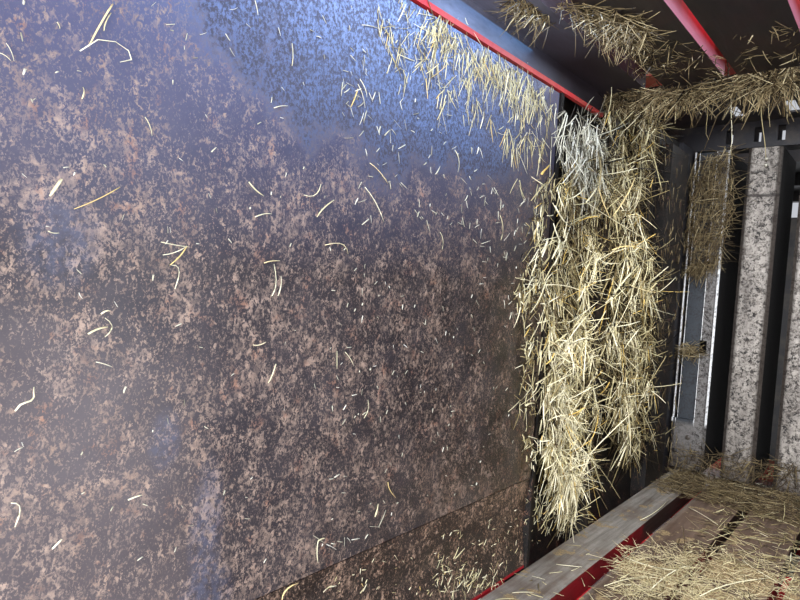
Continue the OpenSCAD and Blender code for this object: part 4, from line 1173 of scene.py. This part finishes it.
CEILING_LITTER = [([(560, 0), (648, 22), (640, 50), (600, 40), (566, 18)], 780, 0.015, 0.075),
                  ([(600, 36), (650, 40), (655, 84), (610, 66)], 130, 0.01, 0.05),
                  ([(660, 30), (727, 60), (722, 84), (655, 84)], 110, 0.01, 0.045),
                  ([(740, 20), (800, 30), (800, 66), (742, 70)], 60, 0.01, 0.04)]
CORNER_LITTER = [([(508, 0), (566, 0), (564, 20), (522, 16)], 480, 0.015, 0.075)]
CORNER_INNER = -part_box("upper_corner_left")[1].x
tangled = {"standing": 0.6, "hang": 0.6, "thick": 1.15, "clump": 3}
litter("corner_litter_left", "chamber", CORNER_LITTER, 2, CEILING_Z, 65, 0.5, old_straw,
       across=(CORNER_INNER + 0.015, WALL_X), **tangled)
for name, rows in (("ceiling_tuft", CEILING_LITTER[:1]), ("ceiling_litter", CEILING_LITTER[1:])):
    litter(name, "top_door", rows, 2, CEILING_Z, 64, 0.46, old_straw, across=(0.0, CORNER_INNER - 0.015),
           **tangled)
print(sum(ADDED.values()), "triangles added so far")

# %% [markdown]
# A machine is held together by things too small for the construction: weld beads, bolts, washers, pin heads
# and fittings. Each kind comes from one function that works on arrays. A turned piece is a profile of radii
# and heights spun round an axis, so six sides give a bolt's head and sixteen a washer. A weld is a tube
# along a seam, and its radius ripples like laid coins. Each piece starts a little inside what carries it.


# %% Turned and welded details
def across_of(axis):
    """Two directions square to an axis, in right-handed order."""
    helper = np.array([1.0, 0, 0]) if abs(axis[2]) > 0.9 else np.array([0, 0, 1.0])
    side = unit(np.cross(axis, helper))
    return side, np.cross(axis, side)


def turned(name, body, profile, places, axis, material, sides=16, spin=0.0):
    """A closed turned piece at each place. The profile's rows are a radius and a height along the axis."""
    places, axis = np.atleast_2d(np.asarray(places, float)), unit(np.asarray(axis, float))
    side, other = across_of(axis)
    angle = spin + np.arange(sides) * 2 * math.pi / sides
    ring = np.cos(angle)[:, None] * side + np.sin(angle)[:, None] * other
    radius, height = np.array(profile).T
    form = radius[:, None, None] * ring + height[:, None, None] * axis
    return ringed(name, body, [places[:, None, None] + form], material)


def bolts(name, body, places, axis, across=0.019):
    """Hex bolts with washers. Across is the width of a head over its flats."""
    washer, head = across * 0.68, across / math.sqrt(3)
    washer_profile = [(washer, -0.001), (washer, 0.0015), (washer - 0.0008, 0.0022)]
    head_profile = [(head, 0.001), (head, across * 0.5), (head * 0.86, across * 0.58)]
    turned(f"{name}_washers", body, washer_profile, places, axis, zinc)
    turned(f"{name}_heads", body, head_profile, places, axis, zinc, 6, 0.3)


def beads(name, body, seams, material, radius=0.0036):
    """Rippled weld beads along straight seams, each given by its two ends."""
    ripple, sides = 0.008, 5
    rng = np.random.default_rng(len(seams))
    blocks = []
    for start, end in np.asarray(seams, float):
        steps = max(3, int(np.linalg.norm(end - start) / ripple))
        side, other = across_of(unit(end - start))
        angle = np.arange(sides) * 2 * math.pi / sides
        ring = np.cos(angle)[:, None] * side + np.sin(angle)[:, None] * other
        size = radius * (1 + 0.16 * (-1.0) ** np.arange(steps + 1) + rng.normal(0, 0.07, steps + 1))
        middle = start + np.linspace(0, 1, steps + 1)[:, None] * (end - start)
        blocks.append((middle[:, None] + size[:, None, None] * ring)[None])
    return ringed(name, body, blocks, material)


def rectangle(axis, level, u, v):
    """The four seams round a rectangle that stands across an axis."""
    corners = []
    for point in ([u[0], v[0]], [u[1], v[0]], [u[1], v[1]], [u[0], v[1]]):
        point.insert(axis, level)
        corners.append(point)
    return [(corners[k], corners[(k + 1) % 4]) for k in range(4)]


def both(rows):
    """Rows of points, and the same rows on the other side of the machine."""
    rows = np.asarray(rows, float)
    return np.concatenate([rows, rows * np.array([-1, 1, 1])])


print("turned and welded details ready")

# %% [markdown]
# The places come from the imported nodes. What a box can't tell, such as where a door's uprights stand, is
# given as a distance from the edge of a node, from the middle plane or from the underside.

# %% Places on the frame
SIDES = (("left", -1), ("right", 1))
UPRIGHTS = REAR_Y + np.array([0.0, 0.320, 0.672, 1.024, 1.376, 1.728])
UPRIGHT_W, ROW_H, FRAME_DEPTH, POST_W = 0.1, 0.06, 0.08, 0.1
ROWS = np.linspace(DOOR_LOW, DOOR_TOP - ROW_H, 4)
SKIN_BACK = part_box("door_frame_right")[0].x
ROW_BACK = SKIN_BACK + FRAME_DEPTH
# Half the height of a hinge's pin, and of the pin that anchors a side cylinder
PIN_REACH, ANCHOR_REACH = 0.082, 0.075
HINGE_RADIUS, EAR_T = 0.033, 0.02
HINGE_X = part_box("hinge_post_right")[0].x + 0.04
HINGE_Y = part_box("hinge_post_right")[0].y + HINGE_RADIUS
POST_Y = HINGE_Y + 0.040
HINGE_LEVELS = (DOOR_LOW + 0.16, (DOOR_LOW + DOOR_TOP) / 2, DOOR_TOP - 0.16)
MIDDLE_HINGE = HINGE_LEVELS[1]
RAIL_IN, RAIL_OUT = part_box("lower_rail_right")[0].x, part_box("lower_rail_right")[1].x
LOW_RAIL, HIGH_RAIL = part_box("lower_rail_right")[1].z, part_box("upper_rail_right")[0].z
TOP_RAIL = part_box("upper_rail_right")[1].z
TENSION_Y = (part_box("side_barrel_right")[0].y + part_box("side_barrel_right")[1].y) / 2
TENSION_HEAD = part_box("tension_head")
TENSION_GAP = 0.055
TENSION_ROWS = [(TENSION_HEAD[0].y, TENSION_Y - TENSION_GAP), (TENSION_Y + TENSION_GAP, TENSION_HEAD[1].y)]
HEAD_LOW, POST_BACK = TENSION_HEAD[0].z, TENSION_HEAD[1].x
print("side cylinders stand at", round(TENSION_Y - REAR_Y, 3), "from the open end")

# %% [markdown]
# Where two tubes meet, a bead runs along the seam on each side that a welder can reach. The door frames get
# a rectangle of beads in every field between uprights and rows, which ride on the door. The frame gets its
# beads where posts and beams stand on the rails and at the ears of hinges and cylinders, and the housing
# along its webs.

# %% Welds
for side, sign in SIDES:
    seams = []
    for first, second in zip(UPRIGHTS[:-1] + UPRIGHT_W, UPRIGHTS[1:]):
        for low, high in zip(ROWS[:-1] + ROW_H, ROWS[1:]):
            seams += rectangle(0, sign * SKIN_BACK, (first, second), (low, high))
        for row in ROWS:
            seams += [([sign * ROW_BACK, y, row], [sign * ROW_BACK, y, row + ROW_H]) for y in (first, second)]
    beads(f"door_welds_{side}", f"side_door_{side}", seams, red_paint)

frame_seams = []
for low in (POST_Y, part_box("front_posts")[0].y):
    for level in (LOW_RAIL, HIGH_RAIL):
        frame_seams += rectangle(2, level, (RAIL_IN, RAIL_OUT), (low, low + POST_W))
PLATE_TALL = 0.12
for low, high in TENSION_ROWS:
    frame_seams += rectangle(2, HEAD_LOW, (RAIL_OUT, POST_BACK), (low, high))
    for y in (low, high):
        frame_seams += [([RAIL_OUT, y, z], [RAIL_OUT, y, z + PLATE_TALL])
                        for z in (LOW_RAIL - PLATE_TALL, HIGH_RAIL)]
for level in HINGE_LEVELS:
    for z in (level - PIN_REACH, level - PIN_REACH + EAR_T, level + PIN_REACH - EAR_T, level + PIN_REACH):
        frame_seams.append(([HINGE_X - HINGE_RADIUS, POST_Y, z], [HINGE_X + HINGE_RADIUS, POST_Y, z]))
for rise in (-ANCHOR_REACH, EAR_T - ANCHOR_REACH, ANCHOR_REACH - EAR_T, ANCHOR_REACH):
    z = MIDDLE_HINGE + rise
    frame_seams += [([POST_BACK, low, z], [POST_BACK, high, z]) for low, high in TENSION_ROWS]
for start in (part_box("hinge_beam")[1].y - POST_W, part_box("knotter_beam")[0].y):
    frame_seams += rectangle(2, TOP_RAIL, (RAIL_IN, RAIL_OUT), (start, start + POST_W))
beads("frame_welds", "chamber", both(frame_seams), red_paint, 0.0042)

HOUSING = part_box("housing_wall_right")
WEB_X, WEB_T = HOUSING[1].x - 0.014, 0.008
WEB_HEIGHTS = [(0.13, 0.555), (0.845, 1.52)]
WEB_STARTS = [FACE_Y + 0.046, FACE_Y + 0.746, HOUSING[1].y - 0.42]
web_seams = []
for start in WEB_STARTS:
    for y in (start, start + WEB_T):
        web_seams += [([WEB_X, y, low], [WEB_X, y, high]) for low, high in WEB_HEIGHTS]
beads("housing_welds", "chamber", both(web_seams), housing_paint)
print("welds:", sum(count for name, count in ADDED.items() if "weld" in name), "triangles")

# %% [markdown]
# What has to come off for repairs is bolted: the deck for the knotters, the housing's cover and the lower
# strips. The bolts stand in even rows, so each row is one range of places along an axis.

# %% Bolts
DECK_Y = (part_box("hinge_beam")[1].y - 0.05, (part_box("knotter_beam")[0].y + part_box("knotter_beam")[1].y) / 2)
DECK_X = np.linspace(-0.70, 0.70, 8)
DECK_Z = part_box("knotter_deck")[1].z
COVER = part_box("housing_cover")
COVER_Y = (COVER[0].y + 0.03, (COVER[0].y + COVER[1].y) / 2 + 0.03, COVER[1].y - 0.03)
COVER_X = np.linspace(-0.72, 0.72, 7)
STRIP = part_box("lower_wall_right")
STRIP_Y = REAR_Y + 0.1 + np.arange(5) * 0.4
bolts("deck_bolts", "chamber", [(x, y, DECK_Z) for y in DECK_Y for x in DECK_X], (0, 0, 1))
bolts("cover_bolts", "chamber", [(x, y, COVER[1].z) for y in COVER_Y for x in COVER_X], (0, 0, 1), 0.017)
strip_places = [(STRIP[1].x - 0.05, y, STRIP[1].z) for y in STRIP_Y]
bolts("strip_bolts", "chamber", both(strip_places), (0, 0, 1), 0.017)
print(len(DECK_Y) * len(DECK_X), "deck bolts")

# %% [markdown]
# Pins get heads, keepers and washers. Each sits on both ends of its pin, so one loop runs twice, once for
# each direction along the pin. The pins in the rods' eyes ride on the doors, so their washers do too.

# %% Pins
PIN_HEAD = [(0.0275, -0.001), (0.0275, 0.0045), (0.0245, 0.007)]
WASHER = [(0.0255, -0.001), (0.0255, 0.0022), (0.0245, 0.003)]
KEEPER = [(0.028, -0.001), (0.028, 0.006)]
TOP_HINGES_X, TOP_CYLINDERS_X = (-0.33, 0.0, 0.33), (-0.3, 0.3)
# Half the length of the pin in an eye, and how far a pin lies from the end of its barrel or rod
EYE_REACH, BARREL_PIN, ROD_PIN = 0.05, 0.035, 0.033
TOP_HINGE_Y, TOP_HINGE_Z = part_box("top_slats")[1].y + 0.030, CEILING_Z + 0.1
ANCHOR_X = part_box("side_barrel_right")[1].x - BARREL_PIN
ANCHOR_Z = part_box("top_barrel_right")[1].z - BARREL_PIN
SIDE_EYE_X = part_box("side_rod_right")[0].x + ROD_PIN
TOP_EYE_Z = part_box("top_rod_right")[0].z + ROD_PIN


def pin_ends(name, body, places, axis, profile=PIN_HEAD):
    """Round heads or washers of bright steel on the ends of pins."""
    turned(name, body, profile, places, axis, bright_steel, 20)


for direction in (-1, 1):
    end, upward, sideways = direction + 2, (0, 0, direction), (direction, 0, 0)
    hinge_ends = [(HINGE_X, HINGE_Y, level + direction * PIN_REACH) for level in HINGE_LEVELS]
    pin_ends(f"hinge_pin_heads_{end}", "chamber", both(hinge_ends), upward)
    anchor = (ANCHOR_X, TENSION_Y, MIDDLE_HINGE + direction * ANCHOR_REACH)
    pin_ends(f"side_anchor_heads_{end}", "chamber", both([anchor]), upward)
    keeper = np.array(anchor) + (0, 0.042, 0)
    turned(f"side_keepers_{end}", "chamber", KEEPER, both([keeper]), upward, zinc, 4, math.pi / 4)
    keeper_top = keeper + (0, 0.004, 0.006 * direction)
    bolts(f"side_keeper_bolts_{end}", "chamber", both([keeper_top]), upward, 0.016)
    top_pins = [(x + direction * PIN_REACH, TOP_HINGE_Y, TOP_HINGE_Z) for x in TOP_HINGES_X]
    pin_ends(f"top_hinge_heads_{end}", "chamber", top_pins, sideways, WASHER)
    top_anchors = [(x + direction * ANCHOR_REACH, TENSION_Y, ANCHOR_Z) for x in TOP_CYLINDERS_X]
    pin_ends(f"top_anchor_heads_{end}", "chamber", top_anchors, sideways)
    top_eyes = [(x + direction * EYE_REACH, TENSION_Y, TOP_EYE_Z) for x in TOP_CYLINDERS_X]
    pin_ends(f"top_eye_washers_{end}", "top_door", top_eyes, sideways, WASHER)
    for side, sign in SIDES:
        eye = (sign * SIDE_EYE_X, TENSION_Y, MIDDLE_HINGE + direction * EYE_REACH)
        pin_ends(f"eye_washer_{side}_{end}", f"side_door_{side}", [eye], upward, WASHER)
print("pins with heads, keepers and washers")

# %% [markdown]
# A cylinder ends in a gland ring that holds the rod's seal, and its two ports would take the hoses. Here
# they are closed with hexagon plugs. The hinges get grease nipples. All of these ride on the barrel or the
# door that carries them.

# %% Cylinder fittings
NIPPLE = [(0.005, -0.001), (0.005, 0.004), (0.003, 0.005), (0.0042, 0.009), (0.002, 0.011)]
GLAND = [(0.0455, 0.0), (0.0482, 0.002), (0.0482, 0.015), (0.0460, 0.0172)]
PORT = [(0.0135, -0.006), (0.0135, 0.009), (0.012, 0.0105)]
PLUG = [(0.0098, 0.010), (0.0098, 0.018), (0.0084, 0.0195)]
GLAND_BACK = 0.018
PORT_Y = TENSION_Y + 0.045
SIDE_PORTS_X, TOP_PORTS_RISE = (0.915, 1.025), (0.045, 0.155)


def fittings(kind, side, mouth, outward, ports):
    """A gland ring at a barrel's mouth, and its two ports with their plugs."""
    body = f"{kind}_barrel_{side}"
    turned(f"{kind}_gland_{side}", body, GLAND, [mouth], outward, bright_steel, 32)
    turned(f"{kind}_ports_{side}", body, PORT, ports, (0, 1, 0), barrel_paint, 16)
    turned(f"{kind}_plugs_{side}", body, PLUG, ports, (0, 1, 0), zinc, 6)


for side, sign in SIDES:
    nipples = [(sign * (HINGE_X + HINGE_RADIUS), HINGE_Y, level) for level in HINGE_LEVELS]
    turned(f"grease_nipples_{side}", f"side_door_{side}", NIPPLE, nipples, (sign, 0, 0), zinc, 8)
    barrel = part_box(f"side_barrel_{side}")
    mouth_x = (barrel[0].x if sign > 0 else barrel[1].x) + sign * GLAND_BACK
    side_ports = [(sign * x, PORT_Y, MIDDLE_HINGE) for x in SIDE_PORTS_X]
    fittings("side", side, (mouth_x, TENSION_Y, MIDDLE_HINGE), (-sign, 0, 0), side_ports)
    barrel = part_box(f"top_barrel_{side}")
    middle_x = (barrel[0].x + barrel[1].x) / 2
    top_ports = [(middle_x, PORT_Y, barrel[0].z + rise) for rise in TOP_PORTS_RISE]
    fittings("top", side, (middle_x, TENSION_Y, barrel[0].z + GLAND_BACK), (0, 0, -1), top_ports)
print("four cylinders fitted")

# %% [markdown]
# The last small pieces ride on the plunger: a thin ring on the end of each axle, two bolts near the top of
# its face on each side and two dark plugs near the foot of each outer column.

# %% Plunger fittings
AXLE_RING = [(0.027, -0.001), (0.027, 0.0012), (0.026, 0.0018)]
FACE_BOLT = [(0.008, -0.001), (0.008, 0.003), (0.006, 0.005)]
FOOT_PLUG = [(0.010, -0.001), (0.010, 0.0006), (0.0085, 0.0012)]
FACE_BOLTS = [(0.361, FACE_Y, FLOOR_Z + 1.287), (0.361, FACE_Y, FLOOR_Z + 1.262)]
FOOT_PLUGS = [(0.557, FACE_Y, FLOOR_Z + 0.142), (0.605, FACE_Y, FLOOR_Z + 0.077)]
axle_ends = []
for label in ("rear", "front"):
    low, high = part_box(f"roller_{label}_right")
    axle_ends.append((high.x, (low.y + high.y) / 2, (low.z + high.z) / 2))
for side, sign in SIDES:
    places = np.array(axle_ends) * (sign, 1, 1)
    turned(f"axle_rings_{side}", "plunger", AXLE_RING, places, (sign, 0, 0), bright_steel, 24)
turned("face_bolts", "plunger", FACE_BOLT, both(FACE_BOLTS), (0, -1, 0), zinc, 6)
turned("foot_bolts", "plunger", FOOT_PLUG, both(FOOT_PLUGS), (0, -1, 0), barrel_paint)
print(len(ADDED), "added pieces,", sum(ADDED.values()), "triangles")

# %% [markdown]
# The lamps are plain and soft. A large one stands behind the open end, as the daylight does. Small ones
# stand for the sky that falls through the gap ahead of the top door and grazes the left door, for the light
# that comes back from the right door and for what reaches the plunger's foot. Two more light the outside. A
# lamp that only gives a sheen is hidden from rough surfaces, and one that would show as a reflection is
# hidden from glossy ones.


# %% Lamps
MIDDLE_Z = (FLOOR_Z + CEILING_Z) / 2
LAMP_X = WALL_X - 0.12
UNDER_CEILING = CEILING_Z - 0.012


def soft_lamp(name, location, target, size, power, colour=(1, 1, 1)):
    """A rectangular lamp that looks from its place at a target."""
    bpy.ops.object.select_all(action="DESELECT")
    bpy.ops.object.light_add(type="AREA", location=location)
    lamp = bpy.context.object
    lamp.name = name
    lamp.data.shape = "RECTANGLE"
    lamp.data.size, lamp.data.size_y = size
    lamp.data.energy = power
    lamp.data.color = colour
    lamp.visible_camera = False
    aim = (Vector(target) - Vector(location)).to_track_quat("-Z", "Y")
    lamp.rotation_euler = aim.to_euler()
    return lamp


def straight_lamp(name, location, axis, *light):
    """A lamp that looks straight across to the left wall for axis 0, or straight down for axis 2."""
    target = list(location)
    target[axis] = -WALL_X if axis == 0 else 0
    return soft_lamp(name, location, target, *light)


soft_lamp("open end lamp", (-0.1, REAR_Y - 3.0, MIDDLE_Z + 0.3), (-0.2, FACE_Y, MIDDLE_Z - 0.2),
          (2.2, 2.0), 330)
side_lamp = straight_lamp("side lamp", (LAMP_X, REAR_Y + 0.64, MIDDLE_Z - 0.13), 0, (0.8, 1.1), 18,
                          (0.96, 0.97, 1.0))
soft_lamp("gap lamp", (-0.05, CEILING_END + 0.55, CEILING_Z + 0.13), (-0.05, CEILING_END + 0.6, 0),
          (1.0, 0.7), 9, (0.93, 0.97, 1.0))
straight_lamp("lip lamp", (-0.40, REAR_Y + 1.5, UNDER_CEILING - 0.002), 2, (0.3, 0.9), 3.5,
              (0.80, 0.88, 1.0))
foot_lamp = soft_lamp("foot lamp", (-0.1, FACE_Y - 1.1, FLOOR_Z + 0.8), (-0.55, FACE_Y - 0.45, FLOOR_Z),
                      (0.6, 0.6), 6, (1.0, 0.97, 0.91))
sheen_lamp = straight_lamp("door sheen lamp", (-0.37, REAR_Y + 1.30, UNDER_CEILING), 2, (0.46, 0.8), 5,
                           (0.2, 0.52, 1.0))
straight_lamp("haze lamp", (LAMP_X, REAR_Y + 1.05, MIDDLE_Z), 0, (0.9, 1.2), 4.5, (0.86, 0.90, 1.0))
soft_lamp("key lamp", (3.5, -3.5, 5.0), (0, 0, 0.8), (3, 3), 260)
soft_lamp("fill lamp", (-4.5, 1.0, 3.5), (0, 0, 0.8), (3, 3), 140)
side_lamp.visible_glossy = False
foot_lamp.visible_glossy = False
sheen_lamp.visible_diffuse = False
print("nine lamps")

# %% [markdown]
# A pale world fills what the lamps leave dark on the outside. The machine stands on a plain studio floor,
# which isn't part of it.

# %% World and floor
world = bpy.data.worlds.new("pale world")
bpy.context.scene.world = world
world.use_nodes = True
background = world.node_tree.nodes["Background"]
background.inputs["Color"].default_value = (0.9, 0.93, 1.0, 1)
background.inputs["Strength"].default_value = 0.6

bpy.ops.object.select_all(action="DESELECT")
bpy.ops.mesh.primitive_plane_add(size=60, location=(0, 0, cad_low.z))
ground = bpy.context.object
ground.name = "studio_floor"
pale = Finish("pale floor", Base_Color=(0.75, 0.75, 0.74, 1), Roughness=0.9)
ground.data.materials.append(pale.material)
ground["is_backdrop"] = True
print("world and floor")

# %% [markdown]
# Last, the size of the dressed model is measured. Straw, welds and bolts all lie inside the
# construction's box, so it is as large as the construction.

# %% Sizes and finish
low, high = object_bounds()
